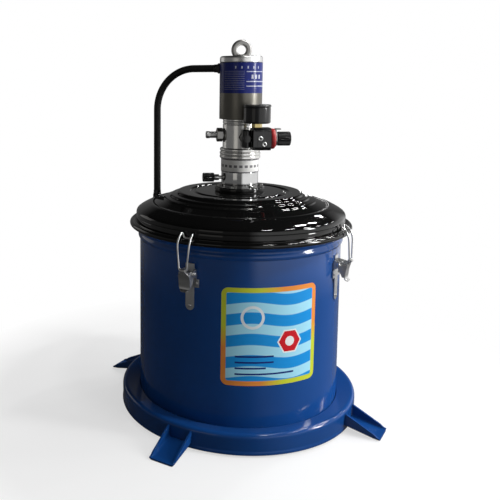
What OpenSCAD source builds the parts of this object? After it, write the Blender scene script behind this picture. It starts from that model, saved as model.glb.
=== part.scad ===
// Pneumatic grease pump: a lidded barrel on four feet with an air driven pump standing on the lid.
// Millimetres. The origin is on the floor under the barrel's centre, +Z is up, the front faces -Y.

/* [Base] */
// How far the skirt ring stands out beyond the barrel
skirt_reach = 32; // [24:1:50]
// Height of the skirt ring's shoulder above the floor
skirt_top = 38; // [34:1:46]
// Sheet thickness of the skirt ring
skirt_wall = 2; // [1.5:0.5:3]
// How far each foot reaches beyond the skirt ring
foot_reach = 55; // [40:1:80]
// Width of a foot
foot_w = 43; // [30:1:60]
// Sheet thickness of a foot
foot_wall = 3; // [2:0.5:4]

/* [Barrel] */
// Outer radius of the barrel
barrel_r = 175; // [160:1:220]
// Height of the barrel's top edge above the floor
barrel_top = 323; // [310:1:500]
// Sheet thickness of the barrel
barrel_wall = 1.5; // [1:0.5:2.5]
// Height of the band round the barrel's top
band_h = 22; // [16:1:28]
// Width and height of the printed label
label_size = 157; // [100:1:170]
// Height of the label's middle above the floor
label_z = 179; // [150:1:185]

/* [Lid] */
// Sheet thickness of the lid
lid_wall = 1.5; // [1:0.5:2.5]
// Radius of the rolled bead round the lid's rim
bead_r = 4.5; // [4:0.5:6]
// Thickness of the lid's gasket
gasket_h = 3; // [2:0.5:5]
// Height of the lid's shoulder above its valley
ledge_rise = 24; // [18:1:32]
// Height of the raised plateau above the shoulder
plateau_rise = 29; // [20:1:40]
// Outer radius of the raised plateau
plateau_r = 109; // [90:1:118]

/* [Latches] */
// Radius of a latch's pivot pin
pin_r = 2; // [1.5:0.5:3]
// Radius of the bail wire
wire_r = 1.4; // [1.2:0.1:1.8]
// Outer width of a latch lever
lever_w = 19.8; // [18:0.2:22]
// Drop of a latch's pivot pin below the drum's top edge
pivot_drop = 47.5; // [46:0.5:53]

/* [Pump] */
// Angle by which the pump is turned on the lid
pump_turn = -10; // [-45:1:20]
// Outer radius of the polished tube
tube_r = 32; // [30:1:34]
// Height of the polished tube above the lid flange
tube_h = 26; // [24:1:40]
// Height of the white collar band
collar_h = 23; // [16:0.5:30]
// Radius of the machined body
body_r = 30.4; // [29:0.2:32]
// Height of the machined body above its ring flange
body_h = 50; // [48:1:60]
// Outer radius of the motor cylinder
motor_r = 36.8; // [35:0.2:39]
// Wall of the motor cylinder
motor_wall = 2; // [1.5:0.5:3]
// Height of the motor cylinder
motor_h = 97; // [94:1:120]
// Stroke of the air piston
stroke = 38; // [20:1:40]
// Outer radius of the suction tube
suction_r = 17.5; // [17:0.5:19]
// Gap between the foot valve and the barrel's bottom
foot_gap = 20; // [12:1:30]

/* [Air line] */
// Radius of the air hose
hose_r = 6.5; // [5:0.5:7]
// Radius of the hose's bend
hose_bend = 75; // [50:1:85]
// Angle at which the hose leaves the pump
hose_turn = 138; // [138:1:160]
// Radius of the gauge case
gauge_r = 22.5; // [18:0.5:23]
// Radius of the adjusting knob
knob_r = 11.8; // [10:0.2:14]

/* [Follower] */
// Height of the follower plate above the floor
follower_z = 200; // [190:1:240]

/* [Hidden] */
$fn = 96;

steel_blue = [0.03, 0.10, 0.36];
gloss_black = [0.03, 0.03, 0.03];
bright_steel = [0.78, 0.78, 0.76];
dull_steel = [0.5, 0.5, 0.5];
brass = [0.85, 0.72, 0.35];
signal_red = [0.8, 0.06, 0.06];

// Overrun of every cut, seat gap of fixed pieces, gap round moving pieces, radial clearance of running fits
cut = 1;
seat = 0.2;
move_gap = 0.35;
run = 0.06;

// Base ring and feet
skirt_r = barrel_r + skirt_reach;
skirt_foot = 3;
skirt_round = 6;
skirt_turn = 80;
tray_in = 25;
tray_z = 13;
tray_lip = 33;
lip_run = 6;
foot_root = 31;
foot_toe = 10;
foot_dip = 9;
foot_turns = [-135, -45, 45, 135];

// Barrel, its rolled rim and the label
barrel_z = tray_z + seat;
bottom_up = 6;
bottom_wall = 2;
bottom_z = barrel_z + bottom_up + bottom_wall;
band_out = 2;
rim_out = 8.7;
rim_h = 3;
rim_slope = 7;
band_edge = 1.5;
band_gap = 0.15;
label_wall = 0.3;
label_gap = 0.05;
label_corner = 11;
label_turn = -92;

// Lid: valley on the gasket, rolled bead outside it, shoulder wall, crowned ring, crease, cone and plateau
bead_gap = 0.3;
bead_in = 150;
bead_end = -120;
bead_steps = 14;
round_steps = 5;
shoulder_out = 6.5;
shoulder_round = 9;
ledge_w = 14;
riser_h = 6;
riser_run = 6;
ring_tilt = 64;
crease_w = 8.5;
crease_share = 1 / 3;
crown_w = 7;
crown_drop = 0.9;
pad_r = 8;
pad_h = 8;
pad_rise = 0.4;
plateau_edge = 2;
groove_r = 82;
groove_w = 6;
groove_d = 2;
groove_side = 1.5;
lid_hole_gap = 2;
valley_z = barrel_top + seat + gasket_h + seat + lid_wall;
bead_x = barrel_r + rim_out + bead_gap + bead_r;
bead_z = valley_z - bead_r * sin(bead_in);
shoulder_r = barrel_r + shoulder_out;
ledge_z = valley_z + ledge_rise;
lid_top = ledge_z + plateau_rise;
crease_r = shoulder_r - shoulder_round - ledge_w - crease_w;
crease_z = ledge_z + crease_share * plateau_rise;
crown_z = crease_z - crown_drop;
pad_z = crown_z + pad_rise;
lid_hole_r = suction_r + lid_hole_gap;

// Latch: everything from the pivot pin, outwards (first) and upwards (second)
latch_turns = [-135, -45, 45, 135];
pivot_out = 9;
pivot_r = barrel_r + pivot_out;
pivot_z = barrel_top - pivot_drop;
plate_gap = 0.1;
plate_wall = 2;
plate_w = 15;
plate_up = 14;
plate_down = 54;
lug_w = 32;
lug_up = 10;
lug_down = 23;
rivet_r = 2.6;
rivet_h = 1.4;
ear_wall = 1.5;
ear_r = 4.5;
ear_up = 6;
ear_down = 9;
lever_wall = 1.5;
eye_r = 5;
knuckle_at = [15.5, 7.5];
knuckle_wall = 1.9;
knuckle_w = 9;
web_points = [[14.2, 5.4], [10.4, -5], [8.2, -21], [9.4, -25.5], [13.5, -27.5]];
cheek_points = [[-2, 4.4], [11.5, 4.6], [10.6, -4.5], [8.4, -20.5], [5.4, -20.5], [-3.6, -3.4]];
neck_cut = 4;
pin_head_r = 3.2;
pin_head_w = 2.4;
bail_bend = 2;
bail_mid = [-0.7, 38.5];
bail_crown = [8.3, 1.4];
bail_apex = [-1.4, 8.2];
wire_steps = 4;
wire_sides = 12;
bail_low_w = 6.6;
bail_mid_w = 10.3;
bail_crown_w = 10.2;
bail_top_w = 9.6;
bail_hook_w = 5;
hook_turn = 117;
hook_seat = 0.35;
hook_at = [bead_x + (bead_r + wire_r + hook_seat) * cos(hook_turn) - pivot_r,
    bead_z + (bead_r + wire_r + hook_seat) * sin(hook_turn) - pivot_z];

// Pump, upwards from the lid
flange_r = 43;
flange_h = 7;
flange_gasket_h = 1.5;
bolt_ring_r = 37.5;
bolt_r = 2.5;
bolt_head_r = 4.4;
bolt_head_h = 2.6;
bolt_count = 6;
tube_wall = 4;
collar_in = 31;
collar_r = 32.8;
ring_r = 35.2;
ring_h = 18;
ring_groove_h = 3;
ring_groove_d = 1.6;
ring_edge = 1.5;
flange_z = lid_top + flange_gasket_h;
tube_z = flange_z + flange_h;
collar_z = tube_z + tube_h + seat;
ring_z = collar_z + collar_h + seat;
body_z = ring_z + ring_h;
motor_z = body_z + body_h;
motor_top = motor_z + motor_h;
suction_wall = 3;
chamber_r = suction_r - suction_wall;
suction_top = ring_z - seat;
packing_h = 14;
rod_r = 6;
rod_gap = 0.4;
base_h = 9;
base_in = 0.1;
block_gap = 0.1;
piston_h = 12;
piston_low = 3;
piston_gap = 0.6;
piston_z = motor_z + seat + base_h + piston_low;
block_z = piston_z + piston_h + stroke + move_gap;
block_h = motor_top - block_z;
seal_h = 4;
seal_d = 3;
cap_h = 11;
cap_edge = 2;
label_band_h = 52;
spool_r = 5;
spool_len = 44;
spool_up_share = 1 / 3;
land_share = 0.25;
spool_run = 6;
spool_waist_r = 3;
spool_waist_w = 6;
eye_out_r = 17.5;
eye_hole_r = 8;
eye_thick = 9;
eye_foot_r = 12;
eye_foot_h = 2.6;

// Lower pump: foot valve, ball and plunger
valve_r = 19.5;
valve_h = 26;
valve_socket = 6;
valve_seat_h = 7;
valve_seat_r = 6;
valve_bore_r = 10;
ball_r = 8;
ball_lift = 4.5;
valve_z = bottom_z + foot_gap;
suction_z = valve_z + valve_h - valve_socket + seat;
seat_z = valve_z + valve_seat_h;
ball_z = seat_z + sqrt(ball_r * ball_r - valve_seat_r * valve_seat_r) + move_gap;
plunger_z = ball_z + ball_r + ball_lift + seat + move_gap;
plunger_h = 24;
plunger_port_r = 3;
plunger_port_ring = 9.6;
plunger_port_count = 6;

// Outlet and bleed screw on the left of the pump
outlet_up = 22.5;
nut_r = 12.2;
nut_w = 11;
nut_gap = 0.4;
nipple_r = 6.2;
nipple_len = 18.5;
nipple_bore_r = 3.5;
nipple_deep = 11;
bleed_up = 15;
bleed_stem_r = 3;
bleed_ring_r = 5.3;
bleed_ring_at = 4.5;
bleed_ring_w = 8.5;
bleed_pin_len = 12;
bleed_cap_r = 8;
bleed_cap_len = 20;
knurl_count = 16;
knurl_r = 0.9;

// Air regulator, parallel to the pump's own X axis and in front of the pump
air_y = -62;
air_up = 20.5;
elbow_r = 8;
elbow_h = 30;
elbow_leg_r = 6.5;
elbow_deep = 9;
reg_len = 30;
reg_half_h = 18.5;
reg_half_w = 17;
reg_chamfer = 5;
reg_neck_r = 9;
reg_neck_len = 12.6;
reg_port_r = 5.6;
reg_port_deep = 12;
spindle_r = 4;
spindle_len = 12;
panel_ring_r = 17;
panel_ring_w = 8.6;
bracket_wall = 2;
bracket_half = 13;
bracket_tab = 9;
bracket_tab_w = 12;
knob_len = 22;
knob_wall = 3;
rib_count = 24;
rib_r = 0.8;
ring_port_r = 4;
ring_port_h = 1.6;
ring_port_hole_r = 2;
ring_port_places = [[12, 1.5], [18.5, -8]];
gauge_x = 16.5;
gauge_stem_r = 9;
gauge_stem_h = 7;
gauge_boss_r = 5;
gauge_h = 31;
gauge_floor = 24;
gauge_wall = 2;
bezel_h = 5;
bezel_out = 0.6;
dial_h = 1;
dial_gap = 1.2;
needle_len = 15;
needle_tail = 5;
needle_w = 1.6;
needle_h = 0.8;
needle_hub_r = 2.4;
arbor_r = 0.8;
glass_h = 1.5;
elbow_x = -seat - seat;
reg_x = elbow_r - seat;
air_z = body_z + air_up;
neck_x = reg_x + reg_len;
knob_x = neck_x + reg_neck_len;
gauge_z = air_z + reg_half_h + gauge_stem_h;

// Hose: it leaves the motor near the top, bends over and comes down on a pad on the lid's ring
hose_down = 9.5;
fitting_r = 9;
fitting_len = 14;
fitting_h = 8;
barb_r = 4;
barb_len = 8;
hose_z = motor_top - hose_down;
hose_x = shoulder_r - shoulder_round - ledge_w / 2;
hose_start = motor_r + fitting_len;
hose_end = pad_z + fitting_h;

// Follower plate and its wiper
follower_wall = 4;
follower_hub_h = 14;
follower_hub_w = 5;
follower_gap = 0.7;
wiper_w = 9;
wiper_h = 10;
wiper_gap = 0.4;
wiper_lip = 4;

function arc_points(c, r, a, b, n) = [for (i = [0 : n])
    c + r * [cos(a + (b - a) * i / n), sin(a + (b - a) * i / n)]];
function unit(v) = v / norm(v);
function reversed(p) = [for (i = [len(p) - 1 : -1 : 0]) p[i]];
function right_of(a, b) = [unit(b - a)[1], -unit(b - a)[0]];
// The line through p moved sideways by d, to the right of its direction, with mitred corners
function moved_line(p, d) = [for (i = [0 : len(p) - 1])
    let (m = i > 0 ? right_of(p[i - 1], p[i]) : right_of(p[0], p[1]),
         n = i < len(p) - 1 ? right_of(p[i], p[i + 1]) : m)
    p[i] + d * (m + n) / (1 + m * n)];

// A bent sheet: the line through p with a wall to the right of it
module sheet_profile(p, wall) polygon(concat(p, reversed(moved_line(p, wall))));

module ring(r_out, r_in, h) {
    difference() {
        cylinder(r = r_out, h = h);
        translate([0, 0, -cut]) cylinder(r = r_in, h = h + cut + cut);
    }
}

// A cylinder along +X from the origin
module bar_x(r, len) rotate([0, 90, 0]) cylinder(r = r, h = len);

// A cylinder along Y, centred on the origin
module bar_y(r, len) rotate([90, 0, 0]) cylinder(r = r, h = len, center = true);

// A flat piece drawn outwards and upwards, w wide across the middle
module upright(w) rotate([90, 0, 0]) linear_extrude(height = w, center = true) children();

module pump_frame() rotate([0, 0, pump_turn]) children();

// The frame of one latch: the origin is the pivot, +X outwards
module latch_frame(i) rotate([0, 0, latch_turns[i]]) translate([pivot_r, 0, pivot_z]) children();

// The points of a closed wire through the corners p, each corner rounded over a length of bend on both sides
function wire_points(p, bend) = [for (i = [0 : len(p) - 1])
    let (a = unit(p[i] - p[(i + len(p) - 1) % len(p)]), b = unit(p[(i + 1) % len(p)] - p[i]))
    for (s = [0 : 1 / wire_steps : 1]) p[i] + bend * (s * s * b - (1 - s) * (1 - s) * a)];

// Closed loop of round wire along the points p: rings set square to the run, with outwards as their reference
module wire_loop(p, r) {
    n = len(p);
    ring_at = [for (i = [0 : n - 1])
        let (t = unit(p[(i + 1) % n] - p[(i + n - 1) % n]), x = unit([1, 0, 0] - t * t[0]), y = cross(t, x))
        for (k = [0 : wire_sides - 1]) p[i] + r * (x * cos(k * 360 / wire_sides) + y * sin(k *
            360 / wire_sides))];
    sides = [for (i = [0 : n - 1]) for (k = [0 : wire_sides - 1])
        let (m = (k + 1) % wire_sides, j = (i + 1) % n)
        [i * wire_sides + m, i * wire_sides + k, j * wire_sides + k, j * wire_sides + m]];
    polyhedron(points = ring_at, faces = sides);
}

// Pressed ring that the barrel stands in: outer wall, rounded shoulder, sloping top, lip and tray
module base_skirt() {
    outer = concat(
        [[skirt_r, skirt_foot]],
        arc_points([skirt_r - skirt_round, skirt_top - skirt_round], skirt_round, 0, skirt_turn, round_steps),
        [[barrel_r + lip_run, tray_lip], [barrel_r + seat, tray_lip - skirt_wall], [barrel_r + seat, tray_z],
         [barrel_r - tray_in, tray_z]]);
    color(steel_blue) rotate_extrude() sheet_profile(outer, -skirt_wall);
}

// One trough foot: sloping floor and two side flanges, cut to the ring's wall
module foot() {
    toe = skirt_r + foot_reach;
    floor_line = [[skirt_r - foot_wall, foot_dip], [toe - foot_toe, 0], [toe, 0], [toe, foot_wall],
        [toe - foot_toe, foot_wall], [skirt_r - foot_wall, foot_dip + foot_wall]];
    flange_line = [[skirt_r - foot_wall, foot_dip], [toe - foot_toe, 0], [toe - foot_wall, 0],
        [toe - foot_wall, foot_wall + foot_wall], [toe - foot_toe, foot_dip + foot_wall],
        [skirt_r - foot_wall, foot_root]];
    difference() {
        union() {
            upright(foot_w) polygon(floor_line);
            for (s = [-1, 1]) translate([0, s * (foot_w - foot_wall) / 2, 0]) upright(foot_wall)
                polygon(flange_line);
        }
        translate([0, 0, -cut]) cylinder(r = skirt_r + seat, h = skirt_top + cut);
    }
}

module foot_brackets() color(steel_blue) for (a = foot_turns) rotate([0, 0, a]) foot();

module barrel_shell() color(steel_blue) translate([0, 0, barrel_z])
    ring(barrel_r, barrel_r - barrel_wall, barrel_top - barrel_z);

module barrel_bottom() color(steel_blue) translate([0, 0, barrel_z + bottom_up])
    cylinder(r = barrel_r - barrel_wall - seat, h = bottom_wall);

// Band round the top, flared out to the rolled rim that carries the gasket
module barrel_top_band() {
    inner = barrel_r + band_gap;
    color(steel_blue) rotate_extrude() polygon([[inner, barrel_top - band_h],
        [barrel_r + band_out, barrel_top - band_h + band_edge],
        [barrel_r + band_out, barrel_top - rim_h - rim_slope], [barrel_r + rim_out, barrel_top - rim_h],
        [barrel_r + rim_out, barrel_top], [inner, barrel_top]]);
}

// Printed label: a thin patch of the barrel's round with rounded corners
module barrel_label() {
    half = label_size / 2;
    inner = barrel_r + label_gap;
    // The patch is as wide along the barrel's round as it is high
    spread = label_size / barrel_r * 180 / PI;
    flat_half = barrel_r * sin(spread / 2);
    color("skyblue") rotate([0, 0, label_turn]) intersection() {
        difference() {
            cylinder(r = inner + label_wall, h = barrel_top);
            translate([0, 0, -cut]) cylinder(r = inner, h = barrel_top + cut + cut);
        }
        translate([0, 0, label_z]) rotate([0, 90, 0]) linear_extrude(height = barrel_r + barrel_r) union() {
            square([label_size, flat_half + flat_half - label_corner - label_corner], center = true);
            square([label_size - label_corner - label_corner, flat_half + flat_half], center = true);
            for (x = [-1, 1]) for (y = [-1, 1])
                translate([x * (half - label_corner), y * (flat_half - label_corner)])
                    circle(r = label_corner);
        }
    }
}

// Pressed lid: plateau with a ring groove, riser, cone, crowned ring with the hose's pad, shoulder, valley, bead
module lid() {
    ledge_out = shoulder_r - shoulder_round;
    top_line = concat(
        [[lid_hole_r, lid_top], [groove_r - groove_w / 2 - groove_side, lid_top],
         [groove_r - groove_w / 2, lid_top - groove_d], [groove_r + groove_w / 2, lid_top - groove_d],
         [groove_r + groove_w / 2 + groove_side, lid_top]],
        arc_points([plateau_r - plateau_edge, lid_top - plateau_edge], plateau_edge, 90, 30, round_steps),
        [[plateau_r + riser_run, lid_top - riser_h], [crease_r, crease_z], [crease_r + crown_w, crown_z]],
        arc_points([ledge_out, ledge_z - shoulder_round], shoulder_round, ring_tilt, 0, round_steps),
        [[shoulder_r, valley_z]],
        arc_points([bead_x, bead_z], bead_r, bead_in, bead_end, bead_steps));
    color(gloss_black) difference() {
        union() {
            rotate_extrude() sheet_profile(top_line, lid_wall);
            rotate([0, 0, hose_turn]) translate([hose_x, 0, pad_z - pad_h]) cylinder(r = pad_r, h = pad_h);
        }
        rotate([0, 0, hose_turn]) translate([hose_x, 0, pad_z - pad_h - pad_h])
            cylinder(r = barb_r + seat, h = pad_h + pad_h + cut);
        for (i = [0 : bolt_count - 1]) pump_frame() rotate([0, 0, i * 360 / bolt_count])
            translate([bolt_ring_r, 0, lid_top - lid_wall - cut])
                cylinder(r = bolt_r + seat, h = lid_wall + cut + cut);
    }
}

module lid_gasket() color(gloss_black) translate([0, 0, barrel_top + seat])
    ring(barrel_r + rim_out, barrel_r + band_gap, gasket_h);

// Back plate with a rounded tongue, two riveted lugs and the ears that hold the pin
module latch_plate() {
    back = plate_gap - pivot_out;
    ear_y = lever_w / 2 + seat + seat + ear_wall / 2;
    difference() {
        union() {
            translate([back, 0, 0]) rotate([0, 90, 0]) linear_extrude(height = plate_wall) union() {
                translate([-plate_up, -plate_w / 2]) square([plate_up + plate_down, plate_w]);
                translate([plate_down, 0]) circle(r = plate_w / 2);
                translate([lug_up, -lug_w / 2]) square([lug_down - lug_up, lug_w]);
                translate([-ear_up, -ear_y - ear_wall / 2])
                    square([ear_up + lug_up + ear_wall, ear_y + ear_y + ear_wall]);
            }
            for (y = [-1, 1]) {
                translate([back + plate_wall / 2, y * (lug_w / 2 - rivet_r - rivet_h),
                    -(lug_up + lug_down) / 2])
                    bar_x(rivet_r, plate_wall / 2 + rivet_h);
                translate([0, y * ear_y, 0]) upright(ear_wall) union() {
                    polygon([[back + plate_wall / 2, ear_up], [0, ear_r], [0, -ear_r],
                        [back + plate_wall / 2, -ear_down]]);
                    circle(r = ear_r);
                }
            }
            translate([back + plate_wall / 2, 0, -plate_down]) bar_x(rivet_r, plate_wall / 2 + rivet_h);
        }
        bar_y(pin_r + run, lug_w + lug_w);
    }
}

module latch_plates() color(bright_steel) for (i = [0 : 3]) latch_frame(i) latch_plate();

// Pivot pin with a head at each end
module latch_pin() {
    head_y = lever_w / 2 + seat + seat + ear_wall + seat;
    bar_y(pin_r, head_y + head_y + pin_head_w);
    for (y = [-1, 1]) translate([0, y * (head_y + pin_head_w / 2), 0]) bar_y(pin_head_r, pin_head_w);
}

module latch_pins() color(bright_steel) for (i = [0 : 3]) latch_frame(i) latch_pin();

// Channel lever: two cheeks on the pin, the web with its curled finger tab, and the knuckle of the bail
module latch_lever(i) color(dull_steel) latch_frame(i) difference() {
    union() {
        for (y = [-1, 1]) translate([0, y * (lever_w - lever_wall) / 2, 0]) upright(lever_wall) union() {
            circle(r = eye_r);
            polygon(cheek_points);
        }
        difference() {
            upright(lever_w) sheet_profile(web_points, lever_wall);
            for (y = [-1, 1]) translate([0, y * (knuckle_w + lever_w) / 2, web_points[0][1]])
                cube([pivot_out + pivot_out, lever_w, neck_cut], center = true);
        }
        translate([knuckle_at[0], 0, knuckle_at[1]]) bar_y(wire_r + run + knuckle_wall, knuckle_w);
    }
    bar_y(pin_r + run, lever_w + cut);
    translate([knuckle_at[0], 0, knuckle_at[1]]) bar_y(wire_r + run, knuckle_w + cut);
}

module latch_lever_1() latch_lever(0);
module latch_lever_2() latch_lever(1);
module latch_lever_3() latch_lever(2);
module latch_lever_4() latch_lever(3);

// Closed wire bail: it turns in the knuckle and its top bends down behind the rim bead
module latch_bail(i) {
    mid = knuckle_at + bail_mid;
    crown = hook_at + bail_crown;
    apex = hook_at + bail_apex;
    side = [[knuckle_at[0], bail_low_w, knuckle_at[1]], [mid[0], bail_mid_w, mid[1]],
        [crown[0], bail_crown_w, crown[1]], [apex[0], bail_top_w, apex[1]],
            [hook_at[0], bail_hook_w, hook_at[1]]];
    other = [for (c = reversed(side)) [c[0], -c[1], c[2]]];
    color(bright_steel) latch_frame(i) wire_loop(wire_points(concat(side, other), bail_bend), wire_r);
}

module latch_bail_1() latch_bail(0);
module latch_bail_2() latch_bail(1);
module latch_bail_3() latch_bail(2);
module latch_bail_4() latch_bail(3);

module on_bolt_ring() for (i = [0 : bolt_count - 1]) pump_frame() rotate([0, 0, i * 360 / bolt_count])
    translate([bolt_ring_r, 0, 0]) children();

module lid_flange() color(gloss_black) difference() {
    translate([0, 0, flange_z]) ring(flange_r, suction_r + lid_hole_gap, flange_h);
    on_bolt_ring() translate([0, 0, flange_z - cut]) cylinder(r = bolt_r + seat, h = flange_h + cut + cut);
}

module flange_gasket() color(gloss_black) difference() {
    translate([0, 0, lid_top]) ring(flange_r - cut, suction_r + lid_hole_gap, flange_gasket_h);
    on_bolt_ring() translate([0, 0, lid_top - cut])
        cylinder(r = bolt_r + seat, h = flange_gasket_h + cut + cut);
}

module flange_bolts() color(dull_steel) on_bolt_ring() {
    translate([0, 0, lid_top - lid_wall - bolt_head_h])
        cylinder(r = bolt_r, h = bolt_head_h + lid_wall + flange_gasket_h + flange_h);
    translate([0, 0, tube_z]) cylinder(r = bolt_head_r, h = bolt_head_h, $fn = 6);
    translate([0, 0, lid_top - lid_wall - bolt_head_h]) cylinder(r = bolt_head_r, h = bolt_head_h, $fn = 6);
}

module pump_tube() color(bright_steel) pump_frame() difference() {
    translate([0, 0, tube_z]) ring(tube_r, tube_r - tube_wall, tube_h);
    translate([-tube_r - cut, 0, tube_z + bleed_up]) bar_x(bleed_stem_r + seat, tube_wall + cut + cut);
}

module collar_band() color("white") translate([0, 0, collar_z]) ring(collar_r, collar_in + seat, collar_h);

// Machined body: spigot in the collar band, ring flange with a groove, then the bored body
module pump_body() {
    top_line = [[chamber_r, collar_z - seat], [collar_in, collar_z - seat], [collar_in, ring_z],
        [ring_r - ring_edge, ring_z], [ring_r, ring_z + ring_edge],
        [ring_r, ring_z + ring_h / 2 - ring_groove_h / 2],
        [ring_r - ring_groove_d, ring_z + ring_h / 2 - ring_groove_h / 2],
        [ring_r - ring_groove_d, ring_z + ring_h / 2 + ring_groove_h / 2],
        [ring_r, ring_z + ring_h / 2 + ring_groove_h / 2], [ring_r, ring_z + ring_h - ring_edge],
        [ring_r - ring_edge, ring_z + ring_h], [body_r, body_z], [body_r, motor_z], [chamber_r, motor_z]];
    color(bright_steel) pump_frame() difference() {
        rotate_extrude() polygon(top_line);
        translate([0, 0, collar_z - cut])
            cylinder(r = suction_r + seat, h = suction_top - collar_z + cut + seat);
        translate([-body_r - cut, 0, body_z + outlet_up]) bar_x(nipple_r + seat, body_r + cut);
        translate([elbow_x, -body_r - cut, body_z + air_up]) rotate([-90, 0, 0])
            cylinder(r = elbow_leg_r + seat, h = elbow_deep + cut);
    }
}

// Packing in the top of the body: the rod runs through it
module rod_packing() color("wheat") translate([0, 0, motor_z - packing_h])
    ring(chamber_r - seat, rod_r + rod_gap, packing_h);

module motor_base() color(dull_steel) translate([0, 0, motor_z + seat])
    ring(motor_r - motor_wall - base_in, rod_r + rod_gap, base_h);

module motor_cylinder() color(dull_steel) difference() {
    translate([0, 0, motor_z + seat]) ring(motor_r, motor_r - motor_wall, motor_h - seat);
    rotate([0, 0, hose_turn]) translate([0, 0, hose_z]) bar_x(barb_r + seat, motor_r + cut);
}

module motor_label() color("navy") difference() {
    translate([0, 0, motor_top - label_band_h])
        ring(motor_r + label_gap + label_wall, motor_r + label_gap, label_band_h - seat);
    rotate([0, 0, hose_turn]) translate([0, 0, hose_z]) bar_x(fitting_r + seat, motor_r + motor_r);
}

module motor_cap() color(bright_steel) difference() {
    rotate_extrude() polygon([[0, motor_top + seat], [motor_r, motor_top + seat],
        [motor_r, motor_top + cap_h - cap_edge], [motor_r - cap_edge, motor_top + cap_h],
            [0, motor_top + cap_h]]);
    translate([0, 0, motor_top + cap_h - eye_foot_h]) cylinder(r = bolt_head_r + seat, h = eye_foot_h + cut);
}

// Lifting eye: a round plate with a hole on a low foot, screwed into the cap
module lifting_eye() {
    foot_z = motor_top + cap_h;
    eye_z = foot_z + eye_foot_h + eye_hole_r;
    color(dull_steel) pump_frame() {
        difference() {
            union() {
                translate([0, 0, eye_z]) bar_y(eye_out_r, eye_thick);
                translate([0, 0, foot_z]) cylinder(r = eye_foot_r, h = eye_foot_h);
            }
            translate([0, 0, eye_z]) bar_y(eye_hole_r, eye_foot_r + eye_foot_r + cut);
            translate([-eye_out_r - cut, -eye_out_r, foot_z - eye_out_r])
                cube([eye_out_r + eye_out_r + cut + cut, eye_out_r + eye_out_r, eye_out_r]);
        }
        translate([0, 0, foot_z - eye_foot_h + seat])
            cylinder(r = bolt_head_r, h = eye_foot_h + eye_foot_h / 2);
    }
}

// Valve block in the top of the motor: bored across for the spool and out to the hose
module valve_block() color("silver") difference() {
    translate([0, 0, block_z]) cylinder(r = motor_r - motor_wall - block_gap, h = block_h);
    pump_frame() translate([0, -motor_r, block_z + block_h * spool_up_share]) rotate([-90, 0, 0])
        cylinder(r = spool_r + run, h = motor_r + motor_r);
    rotate([0, 0, hose_turn]) translate([0, 0, hose_z]) bar_x(barb_r + seat, motor_r + cut);
}

// Changeover spool, lying along the pump's own Y axis
module changeover_spool() color(bright_steel) pump_frame()
    translate([0, -spool_run / 2, block_z + block_h * spool_up_share]) difference() {
        bar_y(spool_r, spool_len);
        for (s = [-1, 1]) translate([0, s * spool_len * land_share, 0]) difference() {
            bar_y(spool_r + cut, spool_waist_w);
            bar_y(spool_waist_r, spool_waist_w + cut);
        }
    }

module air_piston() color("silver") translate([0, 0, piston_z]) difference() {
    cylinder(r = motor_r - motor_wall - piston_gap, h = piston_h);
    translate([0, 0, (piston_h - seal_h) / 2])
        ring(motor_r, motor_r - motor_wall - piston_gap - seal_d, seal_h);
}

module piston_seal() color(gloss_black) translate([0, 0, piston_z + (piston_h - seal_h) / 2 + seat])
    ring(motor_r - motor_wall - move_gap, motor_r - motor_wall - piston_gap - seal_d + seat,
        seal_h - seat - seat);

module connecting_rod() color(bright_steel) translate([0, 0, plunger_z + plunger_h])
    cylinder(r = rod_r, h = piston_z - plunger_z - plunger_h);

module suction_tube() color(bright_steel) translate([0, 0, suction_z])
    ring(suction_r, chamber_r, suction_top - suction_z);

// Plunger with a ring of through ports
module plunger() color(dull_steel) translate([0, 0, plunger_z]) difference() {
    cylinder(r = chamber_r - rod_gap, h = plunger_h);
    for (i = [0 : plunger_port_count - 1]) rotate([0, 0, i * 360 / plunger_port_count])
        translate([plunger_port_ring, 0, -cut]) cylinder(r = plunger_port_r, h = plunger_h + cut + cut);
}

// Foot valve: socket for the suction tube, ball chamber, seat and mouth
module foot_valve() color(dull_steel) translate([0, 0, valve_z]) difference() {
    cylinder(r = valve_r + suction_wall / 2, h = valve_h);
    translate([0, 0, -cut]) cylinder(r = valve_seat_r, h = valve_h);
    translate([0, 0, valve_seat_h]) cylinder(r = valve_bore_r, h = valve_h);
    translate([0, 0, valve_h - valve_socket]) cylinder(r = suction_r + seat, h = valve_socket + cut);
}

module check_ball() color(bright_steel) translate([0, 0, ball_z]) sphere(r = ball_r);

module outlet_nut() color(dull_steel) pump_frame()
    translate([-body_r - nut_gap - nut_w, 0, body_z + outlet_up]) difference() {
    rotate([0, 90, 0]) rotate([0, 0, 30]) cylinder(r = nut_r, h = nut_w, $fn = 6);
    translate([-cut, 0, 0]) bar_x(nipple_r + seat, nut_w + cut + cut);
}

// Outlet nipple: its inner end screws into the body and grease leaves through its bore
module outlet_nipple() color(bright_steel) pump_frame()
    translate([-body_r - nut_gap - nut_w - nipple_len, 0, body_z + outlet_up]) difference() {
        bar_x(nipple_r, nipple_len + nut_w + nut_gap + nipple_deep);
        translate([-cut, 0, 0]) bar_x(nipple_bore_r, nipple_len + nut_w + nut_gap + nipple_deep + cut + cut);
    }

bleed_x = -tube_r - bleed_ring_at - bleed_ring_w;

module bleed_stem() color(bright_steel) pump_frame() translate([bleed_x, 0, tube_z + bleed_up]) {
    translate([-bleed_pin_len, 0, 0])
        bar_x(bleed_stem_r, bleed_pin_len + bleed_ring_w + bleed_ring_at + tube_wall);
    bar_x(bleed_ring_r, bleed_ring_w);
}

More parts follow.
